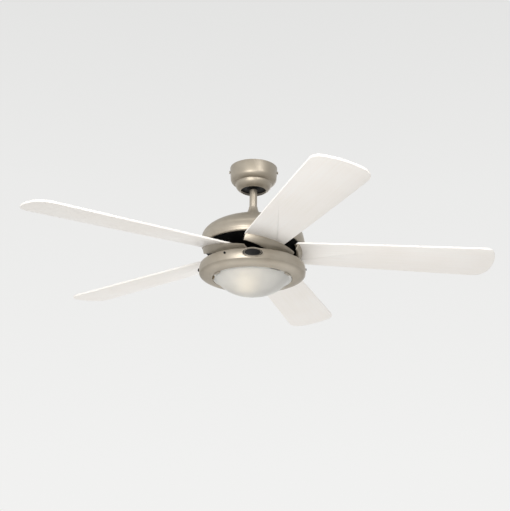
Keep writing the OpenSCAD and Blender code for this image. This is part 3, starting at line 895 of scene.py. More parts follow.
def outward_faces(made: bpy.types.Object) -> None:
    """Turns a closed mesh's faces to look outward.

    Args:
        made: The object whose mesh is turned.
    """
    mesh = made.data
    volume = 0.0
    for polygon in mesh.polygons:
        a = mesh.vertices[polygon.vertices[0]].co
        for i in range(1, len(polygon.vertices) - 1):
            b = mesh.vertices[polygon.vertices[i]].co
            c = mesh.vertices[polygon.vertices[i + 1]].co
            volume += a.dot(b.cross(c))
    if volume < 0:
        mesh.flip_normals()


def combined(
    made: bpy.types.Object, others: Sequence[bpy.types.Object], cut: Cut
) -> bpy.types.Object:
    """Joins other solids to a piece, or takes them away from it, and removes them.

    Args:
        made: The piece that changes.
        others: The solids that are used up.
        cut: Whether they are joined or taken away.

    Returns:
        The same piece.
    """
    for solid in (made, *others):
        outward_faces(solid)
    for other in others:
        modifier = made.modifiers.new("cut", "BOOLEAN")
        modifier.operation = cut.value
        modifier.solver = "EXACT"
        modifier.object = other
    bpy.context.view_layer.update()
    graph = bpy.context.evaluated_depsgraph_get()
    mesh = bpy.data.meshes.new_from_object(made.evaluated_get(graph))
    made.modifiers.clear()
    made.data = mesh
    mesh.name = made.name
    mesh.shade_smooth()
    mesh.set_sharp_from_angle(angle=CREASE_ANGLE)
    for other in others:
        bpy.data.objects.remove(other)
    return made


def dressed(
    made: bpy.types.Object, body: Body, finish: Finish, nodes: Iterable[str] = ()
) -> bpy.types.Object:
    """Gives a piece its finish, lets it ride on its body and hides the CAD nodes it stands for.

    Args:
        made: The piece, in place.
        body: The body that it moves with.
        finish: Its finish.
        nodes: The CAD nodes it stands for.

    Returns:
        The same piece.
    """
    outward_faces(made)
    made.data.materials.clear()
    made.data.materials.append(material_of(finish))
    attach(made, body.value)
    nodes = list(nodes)
    if nodes:
        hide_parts(*nodes)
    LOG.info("%s: %d faces, %s", made.name, len(made.data.polygons), finish.name)
    return made


@dataclass(frozen=True)
class Span:
    """Size of a round CAD node about the axis, in metres."""

    radius: float
    low: float
    high: float

    @staticmethod
    @lru_cache(maxsize=None)
    def of(node: str) -> Span:
        """Reads a CAD node's radius and heights from the frame."""
        low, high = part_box(node)
        return Span((high.x - low.x) / 2, low.z, high.z)


# ---------------------------------------------------------------- Sub-assemblies


@dataclass
class CeilingCanopy:
    """Spun canopy that hides the hanger bracket: a drum over a smaller rounded bowl."""

    wall: float = 1.2 * MM
    hole_radius: float = 36 * MM
    step_inset: float = 16 * MM
    step_drop: float = 47.5 * MM
    drum_round: float = 16 * MM
    step_face: float = 0.5 * MM
    drum_taper: float = 2 * MM
    bend: float = 1.6 * MM

    def line(self) -> Line:
        """Outer line of the canopy, from its hole up to the ceiling."""
        size = Span.of("canopy")
        step = size.radius - self.step_inset
        bowl = -size.low - self.step_drop - self.step_face
        drum = size.radius - self.drum_taper - self.drum_round
        return [
            (self.hole_radius, size.low),
            *arc((step - bowl, bowl + size.low), bowl, -72, 0, 20),
            (step, -self.step_drop),
            *arc((drum, self.drum_round - self.step_drop), self.drum_round, -80, 0, 16),
            (size.radius, size.high),
        ]

    def build(self) -> None:
        """Makes the canopy."""
        canopy = revolved("canopy_shell", sheet_section(self.line(), self.wall, self.bend))
        dressed(canopy, Body.CEILING_MOUNT, SATIN_NICKEL, ["canopy"])


@dataclass
class HangingRod:
    """Downrod and the flared cover that hides its coupling."""

    rod_wall: float = 2.3 * MM
    cover_wall: float = 1.2 * MM
    cover_fit: float = 1.5 * MM
    flare: float = 1.7

    def rod(self) -> bpy.types.Object:
        """Makes the tube, with its cut ends eased."""
        size = Span.of("downrod")
        section = sheet_section([(size.radius, size.low), (size.radius, size.high)], self.rod_wall)
        return revolved("downrod_tube", section, steps=96)

    def cover(self) -> bpy.types.Object:
        """Makes the flared cover."""
        foot, rod = Span.of("coupling_cover"), Span.of("downrod")
        neck = rod.radius + self.cover_fit
        heights = [i / 24 for i in range(25)]
        line = [
            (
                neck + (foot.radius - neck) * (1 - t) ** self.flare,
                foot.low + (foot.high - foot.low) * t,
            )
            for t in heights
        ]
        return revolved("coupling_cover_shell", sheet_section(line, self.cover_wall), steps=144)

    def build(self) -> None:
        """Makes the rod and its cover."""
        dressed(self.rod(), Body.HANGER, SATIN_NICKEL, ["downrod"])
        dressed(self.cover(), Body.HANGER, SATIN_NICKEL, ["coupling_cover"])


@dataclass
class TopHousing:
    """Spun dome over the motor: a rounded cap, a crease, and a band that turns under at its lip."""

    wall: float = 1.5 * MM
    flat_radius: float = 44 * MM
    hole_radius: float = 23 * MM
    crease_inset: float = 3 * MM
    band_height: float = 24 * MM
    lip_drop: float = 3.2 * MM
    rim_inset: float = 2.3 * MM
    lip_in: float = 7 * MM
    rim_round: float = 5 * MM
    bend: float = 1.4 * MM

    def line(self) -> Line:
        """Outer line of the dome, from its lip up to its flat top."""
        size = Span.of("top_housing")
        rim_z = size.low + self.lip_drop
        rim = size.radius - self.rim_inset
        crease, crease_z = size.radius - self.crease_inset, rim_z + self.band_height
        turns = [math.pi / 2 * i / 40 for i in range(41)]
        cap = [
            (
                self.flat_radius + (crease - self.flat_radius) * math.cos(a) ** 2,
                crease_z + (size.high - crease_z) * math.sin(a),
            )
            for a in turns
        ]
        band = [
            (size.radius, rim_z + 8 * MM),
            (size.radius - 0.4 * MM, rim_z + 14 * MM),
            (size.radius - 1.5 * MM, rim_z + 20 * MM),
        ]
        lip = arc((rim - self.rim_round, rim_z + 1.6 * MM), self.rim_round, -80, 0, 10)
        return [(rim - self.lip_in, size.low), *lip, *band, *cap, (self.hole_radius, size.high)]

    def build(self) -> None:
        """Makes the dome."""
        dome = revolved("top_housing_shell", sheet_section(self.line(), self.wall, self.bend))
        dressed(dome, Body.HANGER, SATIN_NICKEL, ["top_housing"])


@dataclass
class BladeSeat:
    """Where a blade lies: its plane, which the blade and its carrier share.

    In blade coordinates the underside is z = 0, x is the distance from the axis and -y is the raised
    edge.
    """

    pitch: float = math.radians(10.2)
    droop: float = math.radians(2.1)
    root_width: float = 108 * MM
    tip_width: float = 146 * MM
    offset: float = 7.5 * MM
    inner: float = 98 * MM
    thickness: float = 5.5 * MM
    spin_height: float = field(init=False)
    sweep_radius: float = field(init=False)

    def __post_init__(self) -> None:
        """Reads the blade plane's height and the sweep from the frame."""
        spin = next(j for j in frame["joints"] if j["name"] == "rotor_spin")
        self.spin_height = spin["pos_m"][2]
        self.sweep_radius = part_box("blade_1")[1].x / math.cos(self.droop) - self.rise_at_tip()

    def rise_at_tip(self) -> float:
        """How much farther out the blade's top edge reaches than its underside, because it droops."""
        return self.thickness * math.sin(self.droop)

    def matrix(self, number: int = 1) -> Matrix:
        """Turns blade coordinates into the frame's, for the blade of that number."""
        spin = Matrix.Rotation(math.tau * (number - 1) / BLADE_COUNT, 4, "Z")
        lift = Matrix.Translation((0, 0, self.spin_height))
        tilt = Matrix.Rotation(self.droop, 4, "Y") @ Matrix.Rotation(-self.pitch, 4, "X")
        return spin @ lift @ tilt

    def half_width(self, share: float) -> float:
        """Half the blade's width at a share of the way from its inner end to its tip."""
        growth = (self.tip_width - self.root_width) * (1.25 * share - 0.25 * share * share)
        return (self.root_width + growth) / 2


@dataclass
class Blades:
    """Five flat paddle blades: wider towards a bowed tip with unequal corners."""

    seat: BladeSeat
    bow: float = 17 * MM
    low_corner: float = 34 * MM
    raised_corner: float = 23 * MM
    root_corner: float = 3 * MM
    toe_reach: float = 28 * MM
    toe_width: float = 30 * MM
    edge: float = 1.2 * MM
    steps: int = 24

    def outline(self) -> Line:
        """Outline of a blade: out along its low edge, round the tip and back."""
        seat = self.seat
        corner = seat.sweep_radius - self.bow
        half = seat.tip_width / 2
        shares = [i / self.steps for i in range(self.steps + 1)]
        low_edge = [
            (seat.inner + (corner - seat.inner) * t, seat.half_width(t) - seat.offset) for t in shares
        ]
        tip = [
            (seat.sweep_radius - self.bow * u * u, -half * u - seat.offset)
            for u in [2 * i / self.steps - 1 for i in range(1, self.steps)]
        ]
        raised_edge = [(x, -y - 2 * seat.offset) for x, y in reversed(low_edge)]
        middle = (seat.inner, -seat.offset)
        edge_start = seat.half_width(0) - seat.offset
        toe = [(seat.inner, edge_start - self.toe_width), (seat.inner - self.toe_reach, edge_start)]
        closed = [middle, *toe, *low_edge, *tip, *raised_edge, middle]
        root = self.root_corner
        reaches = [root, root, self.low_corner, self.raised_corner, root]
        return softened(closed, reaches, steps=8)[:-1][::-1]

    def build(self) -> None:
        """Makes the five blades."""
        outline = self.outline()
        for number in range(1, BLADE_COUNT + 1):
            name = f"blade_board_{number}"
            board = rounded_slab(name, outline, 0.0, self.seat.thickness, self.edge)
            board.matrix_world = self.seat.matrix(number)
            dressed(board, Body.ROTOR, WHITE_FOIL, [f"blade_{number}"])


@dataclass
class BladeCarriers:
    """Five pressed skirts under the blades' roots, each with a flat pad and a post to the motor."""

    seat: BladeSeat
    skirt_radius: float = 138 * MM
    skirt_round: float = 40 * MM
    skirt_wall: float = 3 * MM
    skirt_lift: float = 6.1 * MM
    low_cut_drop: float = 28 * MM
    low_cut_pitch: float = math.radians(15.5)
    raised_side: float = 61.5 * MM
    low_side: float = 88 * MM
    pad_side: float = 48 * MM
    pad: float = 3.2 * MM
    pad_inner: float = 78 * MM
    post_inner: float = 64 * MM
    post_outer: float = 84 * MM
    post_width: float = 28 * MM
    columns: int = 56
    rows: int = 22

    def __post_init__(self) -> None:
        """Keeps the turn from the frame's coordinates back to the blade's."""
        self.back = self.seat.matrix().inverted()

    def skirt_point(self, across: float, turn: float, radius: float) -> Vector:
        """Point of the skirt's round wall at a place across the blade.

        Args:
            across: Its y in blade coordinates.
            turn: Its angle round the wall's arc, 0 at the outermost point, in radians.
            radius: The arc's radius.

        Returns:
            The point in the frame's coordinates, on the blade along +x.
        """
        centre = self.skirt_radius - self.skirt_round
        out = centre + radius * math.cos(turn)
        z = self.seat.spin_height + self.skirt_lift + radius * math.sin(turn)
        low, high = -math.pi / 2, math.pi / 2
        for _ in range(30):
            middle = (low + high) / 2
            p = Vector((out * math.cos(middle), out * math.sin(middle), z))
            low, high = (middle, high) if (self.back @ p).y < across else (low, middle)
        return Vector((out * math.cos(low), out * math.sin(low), z))

    def turn_where(
        self, across: float, radius: float, outside: Callable[[Vector], bool], start: float
    ) -> float:
        """Angle between the skirt's start and its lowest point where it passes out of its bounds."""
        inside, beyond = start, -math.pi / 2
        if not outside(self.skirt_point(across, beyond, radius)):
            return beyond
        for _ in range(24):
            middle = (inside + beyond) / 2
            if outside(self.skirt_point(across, middle, radius)):
                beyond = middle
            else:
                inside = middle
        return inside

    def top_turn(self, across: float, radius: float) -> float:
        """Angle at which the skirt meets the blade's underside."""
        low, high = -math.pi / 3, math.pi / 6
        for _ in range(24):
            middle = (low + high) / 2
            below = (self.back @ self.skirt_point(across, middle, radius)).z < 0
            low, high = (middle, high) if below else (low, middle)
        return low

    def under_cut(self, p: Vector) -> bool:
        """True where a point lies under the skirt's slanted lower cut."""
        cut = self.seat.spin_height - self.low_cut_drop
        slant = math.sin(self.low_cut_pitch) * p.y + math.cos(self.low_cut_pitch) * (p.z - cut)
        return slant < 0

    def wall(self, radius: float) -> list[list[Vector]]:
        """Grid of points of the skirt's outer or inner face, a column at a time from the top down."""
        grid = []
        for i in range(self.columns + 1):
            across = -self.raised_side + (self.raised_side + self.low_side) * i / self.columns
            top = self.top_turn(across, radius)
            low = self.turn_where(across, radius, self.under_cut, top)
            turns = [top + (low - top) * j / self.rows for j in range(self.rows + 1)]
            grid.append([self.skirt_point(across, t, radius) for t in turns])
        return grid

    def skirt(self, name: str) -> bpy.types.Object:
        """Makes one skirt as a closed curved sheet."""
        outer = self.wall(self.skirt_round)
        inner = self.wall(self.skirt_round - self.skirt_wall)
        verts = [p for grid in (outer, inner) for column in grid for p in column]
        tall = self.rows + 1
        shift = len(outer) * tall
        faces = []
        for i in range(self.columns):
            for j in range(self.rows):
                a, b = i * tall + j, (i + 1) * tall + j
                faces.append([a, b, b + 1, a + 1])
                faces.append([shift + a + 1, shift + b + 1, shift + b, shift + a])
        border = [i * tall for i in range(self.columns + 1)]
        border += [self.columns * tall + j for j in range(1, tall)]
        border += [i * tall + self.rows for i in range(self.columns - 1, -1, -1)]
        border += [j for j in range(self.rows - 1, 0, -1)]
        for a, b in zip(border, border[1:] + border[:1], strict=True):
            faces.append([b, a, a + shift, b + shift])
        return piece(name, verts, faces)

    def pad_plate(self, name: str) -> bpy.types.Object:
        """Makes the flat pad between a blade and its skirt."""
        edge = [self.back @ column[0] for column in self.wall(self.skirt_round - self.skirt_wall / 2)]
        outline = [(p.x, p.y) for p in edge if p.y < self.pad_side]
        outline += [(outline[-1][0], self.pad_side), (self.pad_inner, self.pad_side)]
        outline.append((self.pad_inner, -self.raised_side))
        plate = rounded_slab(name, outline, -self.pad, -0.05 * MM, 0.4 * MM)
        plate.data.transform(self.seat.matrix())
        return plate

    def post(self, name: str) -> bpy.types.Object:
        """Makes the block that carries the skirt from the motor's lower shell."""
        shell, cover = Span.of("rotor_bottom_shell"), Span.of("rotor_cover")
        half = self.post_width / 2
        corners = [
            (self.post_inner, 0.0),
            (self.post_inner, -half),
            (self.post_outer, -half),
            (self.post_outer, half),
            (self.post_inner, half),
            (self.post_inner, 0.0),
        ]
        outline = softened(corners, 3 * MM, steps=4)[:-1]
        return rounded_slab(name, outline, cover.low + 2 * MM, shell.low - 0.1 * MM, 0.6 * MM)

    def build(self) -> None:
        """Makes the five carriers."""
        for number in range(1, BLADE_COUNT + 1):
            carrier = self.skirt(f"blade_carrier_skirt_{number}")
            combined(carrier, [self.pad_plate("pad"), self.post("post")], Cut.JOIN)
            carrier.matrix_world = Matrix.Rotation(math.tau * (number - 1) / BLADE_COUNT, 4, "Z")
            dressed(carrier, Body.ROTOR, SATIN_NICKEL, [f"blade_carrier_{number}"])


@dataclass
class RotorCover:
    """Black pressed dish under the motor, slotted where the carriers and blades pass."""

    seat: BladeSeat
    wall: float = 1.5 * MM
    hole_radius: float = 56 * MM
    flat_radius: float = 84 * MM
    low_inset: float = 40 * MM
    low_rise: float = 7.5 * MM
    middle_inset: float = 18 * MM
    middle_rise: float = 21.5 * MM
    clearance: float = 1.5 * MM
    bend: float = 5 * MM

    def line(self) -> Line:
        """Outer line of the dish, from its hole out to its rim."""
        size = Span.of("rotor_cover")
        return [
            (self.hole_radius, size.low),
            (self.flat_radius, size.low),
            (size.radius - self.low_inset, size.low + self.low_rise),
            (size.radius - self.middle_inset, size.low + self.middle_rise),
            (size.radius, size.high - 1 * MM),
            (size.radius, size.high),
        ]

    def slot_cutter(self, number: int) -> bpy.types.Object:
        """Makes the block that cuts the slot for one blade."""
        seat = self.seat
        half = seat.root_width / 2 + self.clearance
        inner, outer = self.hole_radius + 30 * MM, 230 * MM
        corners = [
            (inner, -seat.offset - half),
            (outer, -seat.offset - half),
            (outer, half - seat.offset),
            (inner, half - seat.offset),
        ]
        cutter = rounded_slab("cutter", corners, -4.7 * MM, seat.thickness + 4 * MM, 0.2 * MM, 1)
        cutter.matrix_world = seat.matrix(number)
        return cutter

    def build(self) -> None:
        """Makes the dish and cuts its slots."""
        dish = revolved("rotor_cover_dish", sheet_section(self.line(), self.wall, self.bend))
        cutters = [self.slot_cutter(n) for n in range(1, BLADE_COUNT + 1)]
        combined(dish, cutters, Cut.TAKE_AWAY)
        dressed(dish, Body.ROTOR, BLACK_LACQUER, ["rotor_cover"])


@dataclass
class LightHousing:
    """Spun ring round the glass: a bulged upper band, a crease, and a lower band that curves in."""

    wall: float = 1.5 * MM
    mouth_inset: float = 7 * MM
    crease_inset: float = 1.2 * MM
    crease_drop: float = 28.6 * MM
    bulge: float = 1.3 * MM
    lower_turn: float = math.radians(68)
    radius: float = 146 * MM
    glass_hole: float = 108.4 * MM
    bend: float = 1.3 * MM
    tab_width: float = 25 * MM
    tab_first: float = -30.0
    tab_count: int = 3

    def __post_init__(self) -> None:
        """Reads the ring's heights from the frame, leaving the tabs out."""
        size = Span.of("light_housing")
        self.top = size.high
        self.low = size.low + 1.4 * MM

    def upper_radius(self, z: float) -> float:
        """Outer radius of the upper band at a height."""
        start = self.top - self.crease_drop + 1 * MM
        share = (z - start) / (self.top - 1.5 * MM - start)
        crease, mouth = self.radius - self.crease_inset, self.radius - self.mouth_inset
        lean = (mouth + 3 * MM - crease) * share**3
        return crease + lean + self.bulge * math.sin(math.pi * share)

    def line(self) -> Line:
        """Outer line of the ring, from the glass hole out and up to its mouth."""
        crease, crease_z = self.radius - self.crease_inset, self.top - self.crease_drop
        curve = crease - self.glass_hole - 5.6 * MM
        turns = [self.lower_turn * i / 24 for i in range(25)]
        across, rise = math.sin(self.lower_turn), 1 - math.cos(self.lower_turn)
        foot = self.low + 0.8 * MM
        lower = [
            (
                crease - curve * (1 - math.sin(a) / across),
                foot + (crease_z - foot) * (1 - math.cos(a)) / rise,
            )
            for a in turns
        ]
        start, end = crease_z + 1 * MM, self.top - 1.5 * MM
        heights = [start + (end - start) * i / 24 for i in range(25)]
        upper = [(self.upper_radius(z), z) for z in heights]
        hem = [(self.glass_hole, self.low + 1.6 * MM), (self.glass_hole + 1.2 * MM, self.low)]
        return [*hem, *lower, *upper, (self.radius - self.mouth_inset, self.top)]

    def slot_cutter(self) -> bpy.types.Object:
        """Makes the block that cuts the slot for the reversing switch."""
        knob_low, knob_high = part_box("reverse_switch_knob")
        half = (knob_high.y - knob_low.y) / 2 + 0.5 * MM
        corners = [
            (-self.radius - 6 * MM, half),
            (-self.radius - 6 * MM, -half),
            (-self.radius + 9 * MM, -half),
            (-self.radius + 9 * MM, half),
        ]
        low, high = knob_low.z - 1 * MM, knob_high.z + 6 * MM
        return rounded_slab("cutter", corners, low, high, 0.2 * MM, 1)

    def tab(self, number: int) -> bpy.types.Object:
        """Makes a flat tab that the glass flange rests on."""
        half = self.tab_width / 2
        inner, outer = self.glass_hole - 4.2 * MM, self.glass_hole + 3 * MM
        corners = [
            (outer, 0.0),
            (outer, half),
            (inner, half),
            (inner, -half),
            (outer, -half),
            (outer, 0.0),
        ]
        outline = softened(corners, 2 * MM, steps=4)[:-1][::-1]
        name = f"glass_tab_{number}"
        tab = rounded_slab(name, outline, self.low - 1.4 * MM, self.low - 0.1 * MM, 0.3 * MM)
        turn = math.radians(self.tab_first) + math.tau * (number - 1) / self.tab_count
        tab.matrix_world = Matrix.Rotation(turn, 4, "Z")
        return tab

    def build(self) -> None:
        """Makes the ring, its slot and its tabs."""
        ring = revolved("light_housing_ring", sheet_section(self.line(), self.wall, self.bend))
        combined(ring, [self.slot_cutter()], Cut.TAKE_AWAY)
        dressed(ring, Body.HANGER, SATIN_NICKEL, ["light_housing"])
        for number in range(1, self.tab_count + 1):
            dressed(self.tab(number), Body.HANGER, SATIN_NICKEL)


@dataclass
class OvalBadge:
    """Blank black oval standing upright on the front of the ring, domed, in a nickel bezel."""

    ring: LightHousing
    pad: float = 0.4 * MM
    thickness: float = 1.4 * MM
    edge_fall: float = 0.55
    bezel: float = 1.1 * MM
    bezel_share: float = 0.97
    inlay_share: float = 0.80
    rounds: int = 10
    steps: int = 72

    def __post_init__(self) -> None:
        """Reads the oval's place and size from the frame."""
        low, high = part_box("badge")
        self.height = (low.z + high.z) / 2
        self.half_high = (high.z - low.z) / 2
        self.half_wide = (high.x - low.x) / 2

    def point(self, share: float, angle: float, lift: float | None = None) -> Vector:
        """Point over the ring's face inside the oval.

        Args:
            share: Its place from the middle, 0, to the edge, 1.
            angle: Its direction round the oval, in radians.
            lift: Its distance outside the ring's widest circle, or none for the badge's back.

        Returns:
            The point in the frame's coordinates.
        """
        x = self.half_wide * share * math.cos(angle)
        z = self.height + self.half_high * share * math.sin(angle)
        face = self.ring.upper_radius(z) + self.pad
        radius = face if lift is None else self.ring.radius + lift
        return Vector((x, -math.sqrt(radius * radius - x * x), z))

    def dome(self, share: float) -> float:
        """Lift of the domed front at a share of the way from the middle to the edge."""
        return self.pad + self.thickness * (1 - self.edge_fall * share**4)

    def field(self) -> bpy.types.Object:
        """Makes the black field, domed to the front, its back on the ring."""
        verts, faces = [self.point(0, 0, self.dome(0))], []
        angles = [math.tau * j / self.steps for j in range(self.steps)]
        for i in range(1, self.rounds + 1):
            share = i / self.rounds
            verts += [self.point(share, a, self.dome(share)) for a in angles]
        verts += [self.point(1, a) for a in angles]
        for j in range(self.steps):
            k = (j + 1) % self.steps
            faces.append([0, 1 + j, 1 + k])
            for i in range(self.rounds):
                row = 1 + i * self.steps
                faces.append([row + j, row + self.steps + j, row + self.steps + k, row + k])
        back = 1 + self.rounds * self.steps
        faces.append([back + j for j in range(self.steps)][::-1])
        return piece("badge_field", verts, faces)

    def bead(self, name: str, share: float, lift: float, radius: float) -> bpy.types.Object:
        """Makes a round bead along an oval inside the badge."""
        angles = [math.tau * j / self.steps for j in range(self.steps)]
        path = [self.point(share, a, lift) for a in angles]
        return swept(name, path, [Vector((p.x, p.y, 0.0)) for p in path], radius)

    def build(self) -> None:
        """Makes the field, its bezel and its inlaid line."""
        dressed(self.field(), Body.HANGER, BLACK_MOULDED, ["badge"])
        bezel_lift = self.pad + 0.3 * self.thickness
        bezel = self.bead("badge_bezel", self.bezel_share, bezel_lift, self.bezel)
        dressed(bezel, Body.HANGER, SATIN_NICKEL)
        inlay = self.bead(
            "badge_inlay", self.inlay_share, self.dome(self.inlay_share) - 0.2 * MM, 0.5 * MM
        )
        dressed(inlay, Body.HANGER, SATIN_NICKEL)


@dataclass
class GlassBowl:
    """Shallow pressed bowl with a flange, notched to pass the ring's tabs."""

    wall: float = 3 * MM
    flange_height: float = 4.2 * MM
    flange_width: float = 5 * MM
    notch_depth: float = 4.4 * MM
    notch_first: float = -55.0
    notch_count: int = 3
    notch_width: float = 17.0
    bowl_power: float = 2.7

    def bowl(self, radius: float, low: float, rim: float, steps: int) -> Line:
        """Line of the bowl, from its middle out to its rim."""
        shares = [i / steps for i in range(steps + 1)]
        return [(radius * t, low + (rim - low) * t**self.bowl_power) for t in shares]

    def section(self) -> Line:
        """Closed section of the glass."""
        size = Span.of("glass_shade")
        rim = size.high - self.flange_height
        neck = size.radius - self.flange_width
        outside = [
            *self.bowl(neck, size.low, rim, 44),
            (size.radius, rim),
            (size.radius, size.high),
            (neck - self.wall, size.high),
        ]
        inside = self.bowl(neck - self.wall, size.low + self.wall, rim, 44)
        return [outside[0], *softened(outside, 1.2 * MM)[1:], *inside[::-1]]

    def notched(self, radius: float, height: float, angle: float) -> float:
        """Radius of the flange, cut back in its notches."""
        size = Span.of("glass_shade")
        neck = size.radius - self.flange_width + 0.5 * MM
        if radius < neck or height < size.high - self.flange_height - 0.5 * MM:
            return radius
        step = 360 / self.notch_count
        off = (math.degrees(angle) - self.notch_first + step / 2) % step - step / 2
        share = min(max((self.notch_width / 2 + 1 - abs(off)) / 2, 0.0), 1.0)
        return radius - min(self.notch_depth, radius - neck) * share

    def build(self) -> None:
        """Makes the glass bowl."""
        glass = revolved("glass_bowl", self.section(), steps=288, radial=self.notched)
        dressed(glass, Body.GLASS, ETCHED_GLASS, ["glass_shade"])


@dataclass
class Lamp:
    """Globe bulb on its side, its screw cap and its porcelain holder."""

    neck_radius: float = 12.4 * MM
    neck_start: float = 26 * MM
    thread_pitch: float = 3.6 * MM
    thread_depth: float = 0.6 * MM
    contact_radius: float = 5 * MM
    holder_wall: float = 2.6 * MM
    holder_base: float = 6 * MM

    def along_x(self, made: bpy.types.Object) -> bpy.types.Object:
        """Lays a piece that was turned round z along x, at the lamp's height."""
        low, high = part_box("bulb")
        height = (low.z + high.z) / 2
        made.data.transform(Matrix.Translation((0, 0, height)) @ Matrix.Rotation(math.pi / 2, 4, "Y"))
        return made

    def bulb(self) -> bpy.types.Object:
        """Makes the globe and its neck."""
        low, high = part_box("bulb")
        radius = (high.z - low.z) / 2
        centre = low.x + radius
        neck = self.neck_radius
        globe = arc((0.0, centre), radius, -90, 35, 40)
        line = [(0.0, low.x), *globe[1:], (neck, centre + self.neck_start)]
        line += [(neck, high.x), (0.0, high.x)]
        return self.along_x(revolved("bulb_globe", softened(line, 3 * MM), steps=96))

    def threaded(self, radius: float, height: float, angle: float) -> float:
        """Radius of the cap's thread."""
        if radius <= self.contact_radius:
            return radius
        wave = math.cos(math.tau * (height / self.thread_pitch) - angle)
        return radius - self.thread_depth * (1 - wave) / 2

    def cap(self) -> bpy.types.Object:
        """Makes the threaded cap and its contact."""
        low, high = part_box("bulb_cap")
        radius = (high.z - low.z) / 2
        shell_end = high.x - 2 * MM
        heights = [low.x + (shell_end - low.x) * i / 40 for i in range(41)]
        line = [(0.0, low.x), *[(radius, x) for x in heights]]
        contact = self.contact_radius
        line += [(contact, shell_end + 1 * MM), (contact - 1 * MM, high.x), (0.0, high.x)]
        return self.along_x(revolved("bulb_screw_cap", line, steps=96, radial=self.threaded))

    def holder(self) -> bpy.types.Object:
        """Makes the holder as a deep cup with an eased rim."""
        low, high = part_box("lampholder")
        radius = (high.z - low.z) / 2
        bore = radius - self.holder_wall
        line = [(0.0, high.x), (radius, high.x), (radius, low.x), (bore, low.x)]
        line += [(bore, high.x - self.holder_base), (0.0, high.x - self.holder_base)]
        return self.along_x(revolved("lampholder_cup", softened(line, 0.9 * MM), steps=96))

    def build(self) -> None:
        """Makes the lamp's three pieces."""
        dressed(self.bulb(), Body.HANGER, OPAL_GLASS, ["bulb"])
        dressed(self.cap(), Body.HANGER, ZINC_PLATE, ["bulb_cap"])
        dressed(self.holder(), Body.HANGER, GLAZE, ["lampholder"])


@dataclass
class ReversingSwitch:
    """Small black knob in the ring's side that reverses the fan."""

    edge: float = 0.8 * MM
    ridge_depth: float = 0.5 * MM
    ridge_count: int = 3

    def build(self) -> None:
        """Makes the knob with grip ridges across its face."""
        low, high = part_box("reverse_switch_knob")
        ridges = []
        for i in range(self.ridge_count * 8 + 1):
            t = i / (self.ridge_count * 8)
            dip = self.ridge_depth * (1 - math.cos(math.tau * self.ridge_count * t)) / 2
            z = low.z + self.edge + (high.z - low.z - 2 * self.edge) * t
            ridges.append((low.x + dip, z))
        side = [(high.x, high.z), (low.x + self.edge, high.z)]
        outline = [(high.x, low.z), *side, *ridges[::-1], (low.x + self.edge, low.z)]
        knob = rounded_slab("switch_knob_grip", outline[::-1], low.y, high.y, 0.3 * MM)
        knob.data.transform(Matrix(((1, 0, 0, 0), (0, 0, 1, 0), (0, 1, 0, 0), (0, 0, 0, 1))))
        dressed(knob, Body.SWITCH_KNOB, BLACK_MOULDED, ["reverse_switch_knob"])


@dataclass
class CarriedOver:
    """The CAD nodes whose own shape is right: each gets its finish and eased edges."""

    edge: float = 0.25 * MM
    sharp: float = math.radians(40)

    def dress(self, node: str, finish: Finish) -> None:
        """Gives one CAD node its finish and eased edges.

        Args:
            node: The CAD node's name.
            finish: Its finish.
        """
        made = frame["nodes"][node]
        made.data.materials.clear()
        made.data.materials.append(material_of(finish))
        weld = made.modifiers.new("weld", "WELD")
        weld.merge_threshold = 1e-6
        bevel = made.modifiers.new("eased_edges", "BEVEL")
        bevel.width = self.edge
        bevel.segments = 2
        bevel.limit_method = "ANGLE"
        bevel.angle_limit = self.sharp
        bevel.harden_normals = False

    def build(self) -> None:
        """Dresses every CAD node that is still shown."""
        finishes = {finish.slot.value: finish for finish in FINISHES}
        for part in frame["record"]["subparts"]:
            node = part["node"]
            if not frame["nodes"][node].hide_render:
                self.dress(node, finishes[part["material_slot"]])
                LOG.info("%s: carried over, %s", node, finishes[part["material_slot"]].name)


